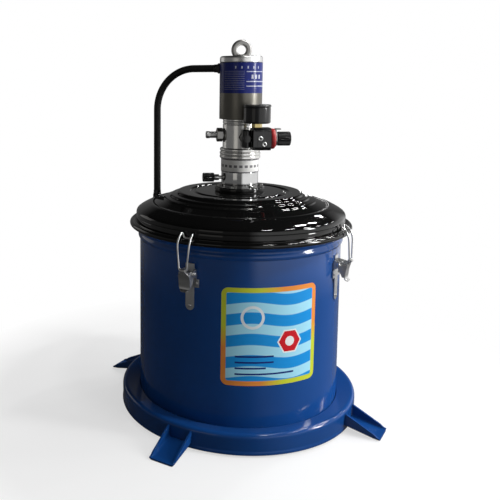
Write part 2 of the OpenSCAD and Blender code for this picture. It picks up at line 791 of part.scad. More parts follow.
// Knurled cap of the bleed screw: it turns on the stem
module bleed_cap() color(gloss_black) pump_frame()
    translate([bleed_x - seat - bleed_cap_len, 0, tube_z + bleed_up]) difference() {
        bar_x(bleed_cap_r, bleed_cap_len);
        translate([bleed_cap_len - seat - bleed_pin_len, 0, 0]) bar_x(bleed_stem_r + run, bleed_cap_len);
        for (i = [0 : knurl_count - 1]) rotate([i * 360 / knurl_count, 0, 0])
            translate([-cut, 0, bleed_cap_r]) rotate([0, 90, 0])
                cylinder(r = knurl_r, h = bleed_cap_len + cut + cut, $fn = 4);
    }

// Elbow block between the body's air port and the regulator
module inlet_elbow() color(gloss_black) pump_frame() translate([elbow_x, 0, air_z]) {
    translate([0, air_y, -elbow_h / 2]) cylinder(r = elbow_r, h = elbow_h);
    translate([0, air_y, 0]) rotate([-90, 0, 0])
        cylinder(r = elbow_leg_r, h = -air_y - body_r + elbow_deep - cut);
}

// Regulator: chamfered block with the air inlet in its lower face, neck and spindle
module regulator_body() {
    h = reg_half_h;
    w = reg_half_w;
    c = reg_chamfer;
    color(gloss_black) pump_frame() translate([reg_x, air_y, air_z]) difference() {
        union() {
            rotate([90, 0, 90]) linear_extrude(height = reg_len)
                polygon([[-w + c, -h], [w - c, -h], [w, -h + c],
                [w, h - c], [w - c, h], [-w + c, h], [-w, h - c], [-w, -h + c]]);
            translate([reg_len - cut, 0, 0]) bar_x(reg_neck_r, reg_neck_len + cut);
            translate([reg_len, 0, 0]) bar_x(spindle_r, reg_neck_len + spindle_len);
        }
        translate([-reg_x, 0, -elbow_h / 2 - cut]) cylinder(r = elbow_r + seat, h = elbow_h + cut + cut);
        translate([reg_len / 2, 0, -h - cut]) cylinder(r = reg_port_r, h = reg_port_deep + cut);
        translate([gauge_x - reg_x, 0, h - gauge_stem_h])
            cylinder(r = gauge_boss_r + seat, h = gauge_stem_h + cut);
    }
}

// Two ringed ports on the regulator's front face
module port_rings() color(bright_steel) pump_frame() for (p = ring_port_places)
    translate([reg_x + p[0], air_y - reg_half_w, air_z + p[1]]) rotate([90, 0, 0])
        ring(ring_port_r, ring_port_hole_r, ring_port_h);

module panel_ring() color(signal_red) pump_frame() translate([neck_x + seat / 2, air_y, air_z]) difference() {
    bar_x(panel_ring_r, panel_ring_w);
    translate([-cut, 0, 0]) bar_x(reg_neck_r + seat, panel_ring_w + cut + cut);
}

// Grey plate behind the ring, with a bent tab at its top
module bracket_plate() color("gray") pump_frame()
    translate([neck_x + seat + panel_ring_w, air_y, air_z]) difference() {
        union() {
            bar_x(bracket_half, bracket_wall);
            translate([0, -bracket_tab_w / 2, 0]) cube([bracket_wall, bracket_tab_w, panel_ring_r]);
            translate([0, -bracket_tab_w / 2, panel_ring_r - bracket_wall])
                cube([bracket_tab, bracket_tab_w, bracket_wall]);
        }
        translate([-cut, 0, 0]) bar_x(reg_neck_r + seat, bracket_tab + cut);
    }

// Ribbed knob on the regulator's spindle
module adjusting_knob() color(gloss_black) pump_frame() translate([knob_x + move_gap, air_y, air_z])
    difference() {
    bar_x(knob_r, knob_len);
    translate([-cut, 0, 0]) bar_x(spindle_r + run, spindle_len + cut);
    for (i = [0 : rib_count - 1]) rotate([i * 360 / rib_count, 0, 0])
        translate([-cut, 0, knob_r]) rotate([0, 90, 0])
            cylinder(r = rib_r, h = knob_len - knob_wall + cut, $fn = 4);
}

module gauge_frame() pump_frame() translate([gauge_x, air_y, gauge_z]) children();

module gauge_stem() color(brass) gauge_frame() {
    translate([0, 0, -gauge_stem_h]) cylinder(r = gauge_stem_r, h = gauge_stem_h - seat, $fn = 6);
    translate([0, 0, -gauge_stem_h - gauge_boss_r]) cylinder(r = gauge_boss_r, h = gauge_boss_r + cut);
}

// Gauge case: a round cup with a bezel round its mouth and a thin arbor for the needle
module gauge_case() color(gloss_black) gauge_frame() {
    difference() {
        union() {
            cylinder(r = gauge_r, h = gauge_h);
            translate([0, 0, gauge_h - bezel_h]) cylinder(r = gauge_r + bezel_out, h = bezel_h);
        }
        translate([0, 0, gauge_floor]) cylinder(r = gauge_r - gauge_wall, h = gauge_h);
    }
    translate([0, 0, gauge_floor - cut]) cylinder(r = arbor_r, h = cut + dial_h + dial_gap + needle_h);
}

module gauge_dial() color("white") gauge_frame() translate([0, 0, gauge_floor])
    ring(gauge_r - gauge_wall - seat, arbor_r + seat, dial_h);

// Needle: a slim pointer with a short tail, turning on the arbor
module gauge_needle() color("black") gauge_frame() translate([0, 0, gauge_floor + dial_h + dial_gap / 2])
    difference() {
    union() {
        cylinder(r = needle_hub_r, h = needle_h);
        linear_extrude(height = needle_h)
            polygon([[-needle_w, needle_w], [-needle_len, 0], [-needle_w, -needle_w],
            [needle_tail, -needle_w / 2], [needle_tail, needle_w / 2]]);
    }
    translate([0, 0, -cut]) cylinder(r = arbor_r + run, h = needle_h + cut + cut);
}

module gauge_glass() color("lightcyan") gauge_frame() translate([0, 0, gauge_h - glass_h - seat])
    cylinder(r = gauge_r - gauge_wall - seat, h = glass_h);

module hose_frame() rotate([0, 0, hose_turn]) children();

// Fitting in the motor's side: flanged nut, barb inwards to the valve block
module hose_fitting_upper() color(dull_steel) hose_frame() translate([motor_r + seat, 0, hose_z]) {
    rotate([0, 90, 0]) cylinder(r = fitting_r, h = fitting_len - seat - seat, $fn = 6);
    translate([-motor_wall - barb_len, 0, 0]) bar_x(barb_r, motor_wall + barb_len + cut);
}

// Hose: straight out of the fitting, one round bend, straight down to the lid
module hose() {
    bend_x = hose_x - hose_bend;
    color([0.05, 0.05, 0.05]) hose_frame() {
        translate([hose_start, 0, hose_z]) bar_x(hose_r, bend_x - hose_start);
        translate([bend_x, 0, hose_z - hose_bend]) rotate([90, 0, 0])
            rotate_extrude(angle = 90) translate([hose_bend, 0]) circle(r = hose_r);
        translate([hose_x, 0, hose_end]) cylinder(r = hose_r, h = hose_z - hose_bend - hose_end);
    }
}

module hose_fitting_lower() color(gloss_black) hose_frame() translate([hose_x, 0, pad_z + seat]) {
    cylinder(r = ledge_w / 2 + seat, h = fitting_h - seat - seat);
    translate([0, 0, -barb_len]) cylinder(r = barb_r, h = barb_len + cut);
}

wiper_r = barrel_r - barrel_wall - wiper_gap;

// Follower plate: a disc with a hub that slides on the suction tube
module follower_plate() color(dull_steel) translate([0, 0, follower_z]) {
    ring(wiper_r - wiper_w, suction_r + follower_gap, follower_wall);
    translate([0, 0, follower_wall - cut])
        ring(suction_r + follower_gap + follower_hub_w, suction_r + follower_gap, follower_hub_h);
}

// Rubber wiper round the follower plate
module follower_seal() color(gloss_black) translate([0, 0, follower_z]) rotate_extrude()
    polygon([[wiper_r - wiper_w + seat, 0], [wiper_r - wiper_lip, 0], [wiper_r, wiper_h],
        [wiper_r - wiper_lip / 2, wiper_h],
        [wiper_r - wiper_lip - seat, follower_wall], [wiper_r - wiper_w + seat, follower_wall]]);

base_skirt();
foot_brackets();
barrel_shell();
barrel_bottom();
barrel_top_band();
barrel_label();
lid();
lid_gasket();
latch_plates();
latch_pins();
latch_lever_1();
latch_lever_2();
latch_lever_3();
latch_lever_4();
latch_bail_1();
latch_bail_2();
latch_bail_3();
latch_bail_4();
lid_flange();
flange_gasket();
flange_bolts();
pump_tube();
collar_band();
pump_body();
motor_base();
motor_cylinder();
motor_label();
motor_cap();
lifting_eye();
valve_block();
changeover_spool();
air_piston();
piston_seal();
connecting_rod();
rod_packing();
suction_tube();
plunger();
foot_valve();
check_ball();
outlet_nut();
outlet_nipple();
bleed_stem();
bleed_cap();
inlet_elbow();
regulator_body();
port_rings();
panel_ring();
bracket_plate();
adjusting_knob();
gauge_stem();
gauge_case();
gauge_dial();
gauge_needle();
gauge_glass();
hose_fitting_upper();
hose();
hose_fitting_lower();
follower_plate();
follower_seal();
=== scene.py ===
"""Pneumatic grease pump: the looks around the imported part, in the part's own frame.

Shapes are in millimetres: an outline is (radius, height) where the piece is turned, and (out, up) or
(across, up) where it is cut from sheet. Materials, lamps and the camera are in metres.
"""
import math

import bmesh
import bpy
import numpy as np
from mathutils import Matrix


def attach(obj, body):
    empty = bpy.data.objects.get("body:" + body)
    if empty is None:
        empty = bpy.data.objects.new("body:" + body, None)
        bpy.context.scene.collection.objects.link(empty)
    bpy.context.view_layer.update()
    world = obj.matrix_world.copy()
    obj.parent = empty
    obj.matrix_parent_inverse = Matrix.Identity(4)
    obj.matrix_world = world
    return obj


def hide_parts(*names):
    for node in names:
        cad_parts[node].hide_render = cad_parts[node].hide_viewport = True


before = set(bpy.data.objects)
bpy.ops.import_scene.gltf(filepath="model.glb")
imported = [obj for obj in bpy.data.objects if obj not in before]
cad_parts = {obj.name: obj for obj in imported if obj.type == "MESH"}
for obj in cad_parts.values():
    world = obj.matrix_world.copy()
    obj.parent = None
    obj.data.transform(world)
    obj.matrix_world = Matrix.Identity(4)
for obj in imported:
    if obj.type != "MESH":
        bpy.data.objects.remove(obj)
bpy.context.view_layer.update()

# Base skirt: a pressed steel ring in which the drum stands, enamelled blue.
# Its top slopes out to a rounded shoulder, and its wall ends in a low bead that is turned inwards.
MM = 0.001
SHARP_FROM = 38  # degrees
DRUM_R, SKIRT_R, SKIRT_SHEET, TRAY_Z = 175.0, 207.0, 2.0, 13.0
LIE = {
    "Z": [[1, 0, 0], [0, 1, 0], [0, 0, 1]],
    "X": [[0, 0, 1], [0, 1, 0], [-1, 0, 0]],
    "-X": [[0, 0, -1], [0, 1, 0], [1, 0, 0]],
    "Y": [[1, 0, 0], [0, 0, 1], [0, -1, 0]],
    "-Y": [[1, 0, 0], [0, 0, -1], [0, 1, 0]],
}


def rounded(line, reach, closed=True, steps=5):
    """Each corner becomes a parabola that joins its two edges at the reach, or sooner on a short edge."""
    p = np.asarray(line, float)

    def cut(edge):
        """The edge shortened to the reach, or to 0.48 of its own length."""
        length = np.linalg.norm(edge, axis=1, keepdims=True)
        return edge / length * np.minimum(np.reshape(reach, (-1, 1)), 0.48 * length)

    t = np.linspace(0, 1, steps)[None, :, None]
    back, ahead = cut(np.roll(p, 1, 0) - p), cut(np.roll(p, -1, 0) - p)
    bent = p[:, None] + back[:, None] * (1 - t) ** 2 + ahead[:, None] * t**2
    if closed:
        return bent.reshape(-1, p.shape[1])
    return np.concatenate([p[:1], bent[1:-1].reshape(-1, p.shape[1]), p[-1:]])


def sheet_section(line, wall):
    """The cut face of a bent sheet: along the line, then back along the line moved sideways by the wall."""
    along = np.gradient(line, axis=0)
    aside = np.stack([along[:, 1], -along[:, 0]], 1)
    aside /= np.linalg.norm(aside, axis=1, keepdims=True)
    return np.concatenate([line, (line + wall * aside)[::-1]])


def quads(rows, columns, close_rows=False, close_columns=False):
    """Faces of a grid of points given row by row; a closed direction also joins its last to its first."""
    r = np.arange(rows if close_rows else rows - 1)[:, None]
    c = np.arange(columns if close_columns else columns - 1)[None]
    near, far, right = r * columns, (r + 1) % rows * columns, (c + 1) % columns
    return np.stack([near + c, near + right, far + right, far + c], -1).reshape(-1, 4)


def revolved(profile, columns=160, closed=True):
    """The points (r, z) carried round the Z axis: x = r cos a, y = r sin a."""
    a = np.linspace(0, 2 * np.pi, columns, endpoint=False)
    p = np.asarray(profile, float)
    grid = np.stack([p[:, :1] * np.cos(a), p[:, :1] * np.sin(a), p[:, 1:] + 0 * a], -1)
    return grid.reshape(-1, 3), quads(len(p), columns, closed, True)


def placed(shell, at=(0, 0, 0), turn=0.0, lie="Z"):
    """The shell, its Z axis laid along another, moved to a place, then turned about the drum's axis."""
    a = math.radians(turn)
    spin = np.array([[math.cos(a), -math.sin(a), 0], [math.sin(a), math.cos(a), 0], [0, 0, 1]])
    points, faces = shell
    return (points @ np.array(LIE[lie], float).T + at) @ spin.T, faces


class Value:
    """A number in a material: arithmetic on it adds Math nodes to that material."""

    def __init__(self, tree, socket):
        self.tree, self.socket = tree, socket

    def math(self, operation, *others):
        """One Math node on this value; the others are values or plain numbers."""
        node = self.tree.nodes.new("ShaderNodeMath")
        node.operation = operation
        for slot, given in zip(node.inputs, (self, *others)):
            if isinstance(given, Value):
                self.tree.links.new(given.socket, slot)
            else:
                slot.default_value = given
        return Value(self.tree, node.outputs[0])

    def __add__(self, other):
        return self.math("ADD", other)

    def __sub__(self, other):
        return self.math("SUBTRACT", other)

    def __mul__(self, other):
        return self.math("MULTIPLY", other)

    def __truediv__(self, other):
        return self.math("DIVIDE", other)

    def __rsub__(self, other):
        return self * -1 + other

    def __lt__(self, other):
        return self.math("LESS_THAN", other)

    def __gt__(self, other):
        return self.math("GREATER_THAN", other)

    def __abs__(self):
        return self.math("ABSOLUTE")

    __radd__, __rmul__ = __add__, __mul__

    def kept(self, low=0.0, high=1.0):
        """The value, held between low and high."""
        return self.math("MAXIMUM", low).math("MINIMUM", high)


class Finish:
    """A finish: one Principled shader, the record's slot that it stands for, and the nodes that feed it."""

    def __init__(self, name, slot, **shader):
        self.material = bpy.data.materials.new(name)
        self.material.use_nodes = True
        self.slot, self.tree = slot, self.material.node_tree
        self.shader = self.tree.nodes["Principled BSDF"]
        for socket, given in shader.items():
            self.feed(self.shader, socket.replace("_", " ").title().replace("Ior", "IOR"), given)

    def feed(self, node, socket, given):
        """Links a value to a socket, or sets a plain number or colour there."""
        if isinstance(given, Value):
            self.tree.links.new(given.socket, node.inputs[socket])
        else:
            node.inputs[socket].default_value = given

    def node(self, kind, settings=(), sockets=(), out=0):
        """Adds a node: its settings first, then its sockets by name or number. Returns one output."""
        node = self.tree.nodes.new(kind)
        for name, given in dict(settings).items():
            setattr(node, name, given)
        for socket, given in dict(sockets).items():
            self.feed(node, socket, given)
        return Value(self.tree, node.outputs[out])

    def place(self):
        """The point of the surface, in the piece's own metres."""
        return self.node("ShaderNodeTexCoord", out="Object")

    def axes(self, vector):
        """The x, y and z of a vector."""
        split = self.node("ShaderNodeSeparateXYZ", sockets={0: vector})
        return [Value(self.tree, s) for s in split.socket.node.outputs]

    def noise(self, scale, detail=2.0, stretch=(1, 1, 1)):
        """A noise from 0 to 1 over the piece's place, made finer along an axis by its stretch."""
        spot = self.node("ShaderNodeVectorMath", {"operation": "MULTIPLY"}, {0: self.place(), 1: stretch})
        return self.node("ShaderNodeTexNoise", sockets={"Vector": spot, "Scale": scale, "Detail": detail})

    def blend(self, share, first, second):
        """A colour between two others."""
        ends = [(*c, 1.0) if isinstance(c, tuple) else c for c in (first, second)]
        return self.node("ShaderNodeMix", {"data_type": "RGBA"}, {0: share, 6: ends[0], 7: ends[1]}, 2)

    def colour(self, given):
        self.feed(self.shader, "Base Color", given)

    def roughness(self, given):
        self.feed(self.shader, "Roughness", given)

    def relief(self, height):
        """The height of the surface in metres, as a bump."""
        bump = self.node("ShaderNodeBump", sockets={"Strength": 1.0, "Distance": 1.0, "Height": height})
        self.feed(self.shader, "Normal", bump)


def tint(colour, share):
    """The colour, each channel times the share."""
    return tuple(c * share for c in colour)


def enamel(name, slot, colour, gloss, waves, peel=5e-6, ridge=None):
    """Sprayed enamel: orange peel about 2 mm wide over the slow waves of pressed sheet, uneven in depth.

    A ridge is a function that takes the finish and returns one more height.
    """
    f = Finish(name, slot, coat_weight=1.0, coat_roughness=gloss, specular_ior_level=0.0)
    depth = f.noise(9, 4)
    f.colour(f.blend(depth, tint(colour, 0.82), tint(colour, 1.16)))
    f.roughness(f.noise(60, 3) * 0.16 + 0.3)
    height = f.noise(430) * peel + f.noise(4.5) * waves
    f.relief(height + ridge(f) if ridge else height)
    return f


def piece(name, shells, finish, replaced=(), body="root", bevel=0.0, uv=None):
    """An object made of its shells (points in millimetres, faces), merged, faces outwards, on its body."""
    mesh = bpy.data.meshes.new(name)
    starts = np.cumsum([0] + [len(points) for points, _ in shells])
    mesh.from_pydata(
        (np.concatenate([points for points, _ in shells]) * MM).tolist(), [],
        [[int(i + start) for i in face] for (_, faces), start in zip(shells, starts) for face in faces])
    if uv is not None:
        corners = np.zeros(len(mesh.loops), np.int32)
        mesh.loops.foreach_get("vertex_index", corners)
        mesh.uv_layers.new(name="UVMap").data.foreach_set("uv", np.asarray(uv, np.float32)[corners].ravel())
    bm = bmesh.new()
    bm.from_mesh(mesh)
    bmesh.ops.remove_doubles(bm, verts=bm.verts, dist=0.002 * MM)
    bmesh.ops.recalc_face_normals(bm, faces=bm.faces)
    bm.to_mesh(mesh)
    bm.free()
    mesh.materials.append(finish.material)
    mesh.shade_smooth()
    mesh.set_sharp_from_angle(angle=math.radians(SHARP_FROM))
    made = bpy.data.objects.new(name, mesh)
    bpy.context.scene.collection.objects.link(made)
    if bevel:
        edge = made.modifiers.new("edge", "BEVEL")
        edge.width, edge.segments, edge.harden_normals = bevel * MM, 3, True
        edge.limit_method, edge.angle_limit = "ANGLE", math.radians(30)
    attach(made, body)
    if replaced:
        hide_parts(*replaced)
    return made


base_blue = enamel("base_enamel", "base_blue", (0.007, 0.055, 0.22), 0.1, 6e-4)
skirt_line = rounded(
    [(SKIRT_R - 2.8, 3.3), (SKIRT_R, 3), (SKIRT_R, 7.2), (SKIRT_R - 0.8, 9.5), (SKIRT_R - 0.4, 37.6),
     (DRUM_R + 6, 33.2), (DRUM_R + 0.3, 32.2), (DRUM_R + 0.3, TRAY_Z), (DRUM_R - 25, TRAY_Z)],
    [1, 1.8, 1.8, 2, 9, 2.5, 2, 2, 1], closed=False, steps=9)
piece("skirt_ring", [revolved(sheet_section(skirt_line, -SKIRT_SHEET), 240)], base_blue, ["base_skirt"])

# Feet: four troughs folded from 3 mm plate and welded to the skirt on the diagonals.
# The floor of each runs down to a flat toe, and its two flanges taper to nothing there.
CORNERS = (-135, -45, 45, 135)


def plated(grid, wall):
    """A sheet of even wall: the grid, the grid moved along its normals, and strips between their edges."""
    rows, columns = grid.shape[:2]
    normal = np.cross(np.gradient(grid, axis=0), np.gradient(grid, axis=1))
    normal /= np.linalg.norm(normal, axis=2, keepdims=True)
    order = np.arange(rows * columns).reshape(rows, columns)
    rim = np.concatenate([order[0], order[1:, -1], order[-1, -2::-1], order[-2:0:-1, 0]])
    other, size = np.roll(rim, -1), rows * columns
    sides = np.stack([rim, other, other + size, rim + size], 1)
    points = np.concatenate([grid.reshape(-1, 3), (grid + wall * normal).reshape(-1, 3)])
    faces = quads(rows, columns)
    return points, np.concatenate([faces, faces[:, ::-1] + size, sides])


def foot(root_r=SKIRT_R - 0.4, toe_r=262, width=43, wall=3, rise=9, flange=19, flat_from=0.82):
    """A U section (y, z): its floor drops and its flanges shrink with the share s of the way to the toe."""
    s = np.concatenate([np.linspace(0, flat_from, 15), [0.86, 0.92, 1.0]])
    floors = np.interp(s, [0, flat_from, 1], [rise + wall, wall, wall])
    flanges = np.interp(s, [0, flat_from, 0.95, 1], [flange, 6, 0.6, 0.4])
    half = width / 2 - wall
    section = np.stack([
        rounded([(-half, low + high), (-half, low), (half, low), (half, low + high)], 3.5, False, 7)
        for low, high in zip(floors, flanges)])
    inner = np.sqrt(root_r**2 - section[..., 0] ** 2)
    x = inner + s[:, None] * (toe_r - inner)
    return plated(np.stack([x, section[..., 0], section[..., 1]], -1), -wall)


piece("feet", [placed(foot(), turn=a) for a in CORNERS], base_blue, ["foot_brackets"], bevel=0.5)

# Drum: 1.5 mm steel sheet, rolled and seam welded at the back; its flat bottom sits above the lower edge.
# A heavier band is pressed over its top and flares out to the rim that carries the lid.
DRUM_TOP, SHEET = 323.0, 1.5
BOTTOM_LOW, BOTTOM_HIGH = 19.3, 21.2
BAND_IN, BAND_LOW = DRUM_R + 0.2, 299.6


def weld_seam(finish):
    """The height of the seam down the drum's back: a bell curve of x, 0.25 mm high, 3.3 mm to each side."""
    x, y, _ = finish.axes(finish.place())
    return (x * x * -90000).math("EXPONENT") * (y > 0) * 2.5e-4


def lathe(line, reach, columns=200, closed=True, steps=5):
    """A turned piece from its corners, rounded by the reach; an open line starts and ends on the axis."""
    return revolved(rounded(line, reach, closed, steps), columns, closed)


drum_blue = enamel("drum_enamel", "barrel_blue", (0.008, 0.062, 0.25), 0.11, 9e-4, ridge=weld_seam)
shell_line = np.stack([np.full(24, DRUM_R), np.linspace(TRAY_Z + 0.2, DRUM_TOP, 24)], 1)
piece("drum_shell", [revolved(sheet_section(shell_line, -SHEET), 240)], drum_blue, ["barrel_shell"])
bottom = [(0, 19.4), (150, 19.4), (163, BOTTOM_LOW), (173.2, BOTTOM_LOW), (173.2, 21.1), (162, 21.1),
          (150, BOTTOM_HIGH), (0, BOTTOM_HIGH)]
piece("drum_bottom", [revolved(bottom, closed=False)], drum_blue, ["barrel_bottom"])
band = lathe(
    [(BAND_IN, BAND_LOW), (175.7, BAND_LOW), (178.1, 303), (178.1, 306.5), (175.9, 311.4), (176.3, 314),
     (183.7, 320), (183.7, DRUM_TOP), (BAND_IN, DRUM_TOP)],
    [0.2, 0.8, 2.6, 3.2, 2, 2, 1.5, 1, 0.4], 240, steps=7)
piece("drum_band", [band], drum_blue, ["barrel_top_band"])

# Drum label: a printed film with rounded corners, wrapped on the front of the drum.
# Its border runs from orange to yellow green; inside are plain waves, a ring, a nut and ruled lines.
# In the print x and y run from the film's middle, in shares of its height.
LABEL_WIDTH, LABEL_HEIGHT, LABEL_CORNER = 160.0, 157.0, 11.0
BORDER, RING_AT, NUT_AT = 0.052, (-0.2, 0.2), (0.19, -0.06)
SKY, SEA, NAVY = (0.38, 0.76, 0.93), (0.009, 0.29, 0.74), (0.01, 0.03, 0.19)
RING_WHITE, NUT_WHITE, NUT_RED = (0.8, 0.86, 0.9), (0.85, 0.88, 0.88), (0.62, 0.012, 0.02)
YELLOW_GREEN, ORANGE = (0.60, 0.66, 0.04), (0.84, 0.28, 0.05)
RULES = ((-0.2, 0.02), (-0.26, 0.02), (-0.32, -0.06), (-0.38, 0.24))  # height and right end of each


def label_sheet(turn=-92.0, middle=179.0, radius=DRUM_R + 0.06, wall=0.28):
    """Rows of points on the drum's round; near a corner a row is as wide as the corner's circle leaves it."""
    inner_x, inner_z = LABEL_WIDTH / 2 - LABEL_CORNER, LABEL_HEIGHT / 2 - LABEL_CORNER
    edge = np.sin(np.linspace(0, np.pi / 2, 9)) * LABEL_CORNER
    height = np.concatenate([-inner_z - edge[::-1], np.linspace(-inner_z, inner_z, 30)[1:-1], inner_z + edge])
    over = np.maximum(np.abs(height) - inner_z, 0)
    width = inner_x + np.sqrt(np.maximum(LABEL_CORNER**2 - over**2, 0.01))
    x = np.linspace(-1, 1, 61)[None] * width[:, None]
    a = np.radians(turn) + x / radius
    grid = np.stack([radius * np.cos(a), radius * np.sin(a), middle + height[:, None] + 0 * a], -1)
    uv = np.stack([x, height[:, None] + 0 * x], -1).reshape(-1, 2) / LABEL_HEIGHT
    return plated(grid, wall), np.concatenate([uv, uv])


def distance(x, y):
    """How far the point (x, y) is from the origin."""
    return (x * x + y * y).math("SQRT")


label_print = Finish(
    "label_print_finish", "label_print", coat_weight=0.5, coat_roughness=0.15, specular_ior_level=0.1)
x, y, _ = label_print.axes(label_print.node("ShaderNodeUVMap"))
corner = LABEL_CORNER / LABEL_HEIGHT
past_x, past_y = abs(x) - (LABEL_WIDTH / LABEL_HEIGHT / 2 - corner), abs(y) - (0.5 - corner)
inside_by = past_x.math("MAXIMUM", past_y).math("MINIMUM", 0.0)
to_edge = distance(past_x.kept(0, 9), past_y.kept(0, 9)) + inside_by - corner
wave = ((x * 7.5).math("SINE") * 0.11 + y * 4.6 + 0.2).math("FRACT")
ink = label_print.blend(((abs(wave - 0.5) - 0.22) * 40).kept(), SKY, SEA)
ring_by = abs(distance(x - RING_AT[0], y - RING_AT[1]) - 0.105)
nut_x, nut_y = abs(x - NUT_AT[0]), abs(y - NUT_AT[1])
nut_by = (nut_x * 0.866 + nut_y * 0.5).math("MAXIMUM", nut_y)
for shape, tone in ((ring_by < 0.014, RING_WHITE), (nut_by < 0.118, NUT_WHITE), (nut_by < 0.104, NUT_RED),
                    (distance(nut_x, nut_y) < 0.05, NUT_WHITE)):
    ink = label_print.blend(shape, ink, tone)
for rule_y, rule_end in RULES:
    ink = label_print.blend((abs(y - rule_y) < 0.009) * (x > -0.37) * (x < rule_end), ink, NAVY)
border = label_print.blend((x * y * 9 + 0.5).kept(), YELLOW_GREEN, ORANGE)
label_print.colour(label_print.blend(((to_edge + BORDER) * 160).kept(), ink, border))
label_print.roughness(label_print.noise(35, 3) * 0.12 + 0.28)
label_print.relief(label_print.noise(30) * 6e-5)
sheet, label_uv = label_sheet()
piece("drum_label", [sheet], label_print, ["barrel_label"], uv=label_uv)

# Lid: 1.5 mm sheet, enamelled black: a plateau with a ring groove, stepped cone, crowned ring and shoulder.
# Below the shoulder it lies on a rubber gasket, and its edge is rolled to a bead for the latches.
# A solid pad under the hose's lower fitting is welded on.
PLATEAU, GROOVE = 380.9, 378.7
HOSE_TURN, HOSE_REACH, PAD_Z = 138.0, 165.5, 361.07
lid_black = enamel("lid_enamel", "lid_black", (0.0035, 0.0035, 0.0035), 0.05, 1.2e-3, 1.5e-6)


def arc(centre, radius, start, end, steps):
    """Points on a circle about centre, from one angle to another in degrees."""
    a = np.radians(np.linspace(start, end, steps))
    return np.stack([centre[0] + radius * np.cos(a), centre[1] + radius * np.sin(a)], 1)


lid_line = np.concatenate([
    rounded([(19.6, PLATEAU), (76.9, PLATEAU), (79.2, GROOVE), (84.8, GROOVE), (87.1, PLATEAU),
             (107.4, PLATEAU), (111.6, 376.2), (119.6, 375.2), (122.4, 371.8), (131, 369.8), (133.4, 367.4),
             (149.6, 360.9), (152.4, 361.9), (158, 360.9), (174.6, 352.5), (181.5, 347.5), (181.7, 341),
             (181.1, 339.2), (181.7, 337.2), (181.5, 330.5)],
            [1, 2, 2, 2, 2, 3.4, 2.2, 2.6, 1.8, 2.4, 2, 1.8, 2.2, 5, 7, 5, 1.2, 1, 1.2, 1],
            closed=False, steps=8),
    arc((184.4, 330.2), 2.9, 184, 250, 7),
    arc((188.5, 325.65), 4.5, 135, -120, 26)])
pad_top = PAD_Z - 0.02
hose_pad = lathe([(4.1, 353), (8, 353), (8, pad_top), (4.1, pad_top)], [0.2, 0.2, 0.7, 0.3], 48, steps=4)
lid_shells = [revolved(sheet_section(lid_line, SHEET), 250), placed(hose_pad, (HOSE_REACH, 0, 0), HOSE_TURN)]
piece("lid_shell", lid_shells, lid_black, ["lid"])
rubber = Finish("rubber_finish", "rubber", base_color=(0.008, 0.008, 0.008, 1), specular_ior_level=0.3)
rubber.roughness(rubber.noise(50, 4) * 0.2 + 0.42)
rubber.relief(rubber.noise(900, 3) * 1.2e-5)
gasket = lathe([(175.3, 323.2), (183.5, 323.2), (183.5, 326.2), (175.3, 326.2)], 1.2)
piece("gasket_ring", [gasket], rubber, ["lid_gasket"])

# Wire toggle latches: four on the diagonals, each a riveted back plate with two ears, a pin and a channel
# lever, and a closed wire bail that turns in the lever's knuckle and hooks down behind the lid's bead.
# All are zinc plated. Their shapes are drawn from the pivot, x outwards.
PIVOT = (184.0, 0.0, 275.5)
EAR_Y, CHEEK_Y, PLATE_BACK, PLATE_FRONT = 11.05, 9.15, -8.9, -6.9


def grained(name, slot, dark, light, mottle, polish, grain=None, **shader):
    """A finish whose colour, roughness and height follow noises.

    mottle is (scale, detail), polish is (scale, detail, spread, least) and grain is (scale, detail, height).
    """
    f = Finish(name, slot, **shader)
    f.colour(f.blend(f.noise(*mottle), dark, light))
    scale, detail, spread, least = polish
    f.roughness(f.noise(scale, detail) * spread + least)
    if grain:
        scale, detail, height = grain
        f.relief(f.noise(scale, detail) * height)
    return f


def slab(outline, low, high):
    """A flat outline of points (x, y) given thickness along Z."""
    n, flat = len(outline), np.asarray(outline, float)
    points = np.concatenate([np.column_stack([flat, np.full(n, z)]) for z in (low, high)])
    i = np.arange(n)
    sides = np.stack([i, (i + 1) % n, (i + 1) % n + n, i + n], 1).tolist()
    return points, [*sides, list(range(n))[::-1], list(range(n, 2 * n))]


def swapped(shell, order, signs=(1, 1, 1)):
    """The shell with its axes taken in another order, each with its sign."""
    points, faces = shell
    return points[:, list(order)] * signs, faces


def moved(shells, at=(0, 0, 0), turn=0.0, lie="Z"):
    """Several shells, all placed alike."""
    return [placed(shell, at, turn, lie) for shell in shells]


def wire(path, radius, sides=14, closed=True):
    """A round wire: rings square to the path, their first spoke turned as near to +X as they can be."""
    p = np.asarray(path, float)
    if closed:
        along = np.roll(p, -1, 0) - np.roll(p, 1, 0)
    else:
        along = np.gradient(p, axis=0)
    along /= np.linalg.norm(along, axis=1, keepdims=True)
    spoke = np.array([1.0, 0, 0]) - along * along[:, :1]
    spoke /= np.linalg.norm(spoke, axis=1, keepdims=True)
    a = np.linspace(0, 2 * np.pi, sides, endpoint=False)[None, :, None]
    grid = p[:, None] + radius * (spoke[:, None] * np.cos(a) + np.cross(along, spoke)[:, None] * np.sin(a))
    faces = quads(len(p), sides, closed, True).tolist()
    if not closed:
        faces += [list(range(sides)), list(range((len(p) - 1) * sides, len(p) * sides))]
    return grid.reshape(-1, 3), faces


def rod(radius, low, high, edge=0.3, columns=40):
    """A turned rod or disc along Z with softened edges."""
    return lathe([(0, low), (radius, low), (radius, high), (0, high)], edge, columns, False, 4)


def both_sides(outline, off_middle, wall=1.5):
    """A flat outline (x, z) cut from sheet twice, once on each side of the latch."""
    return [swapped(slab(outline, y - wall / 2, y + wall / 2), (0, 2, 1)) for y in (-off_middle, off_middle)]


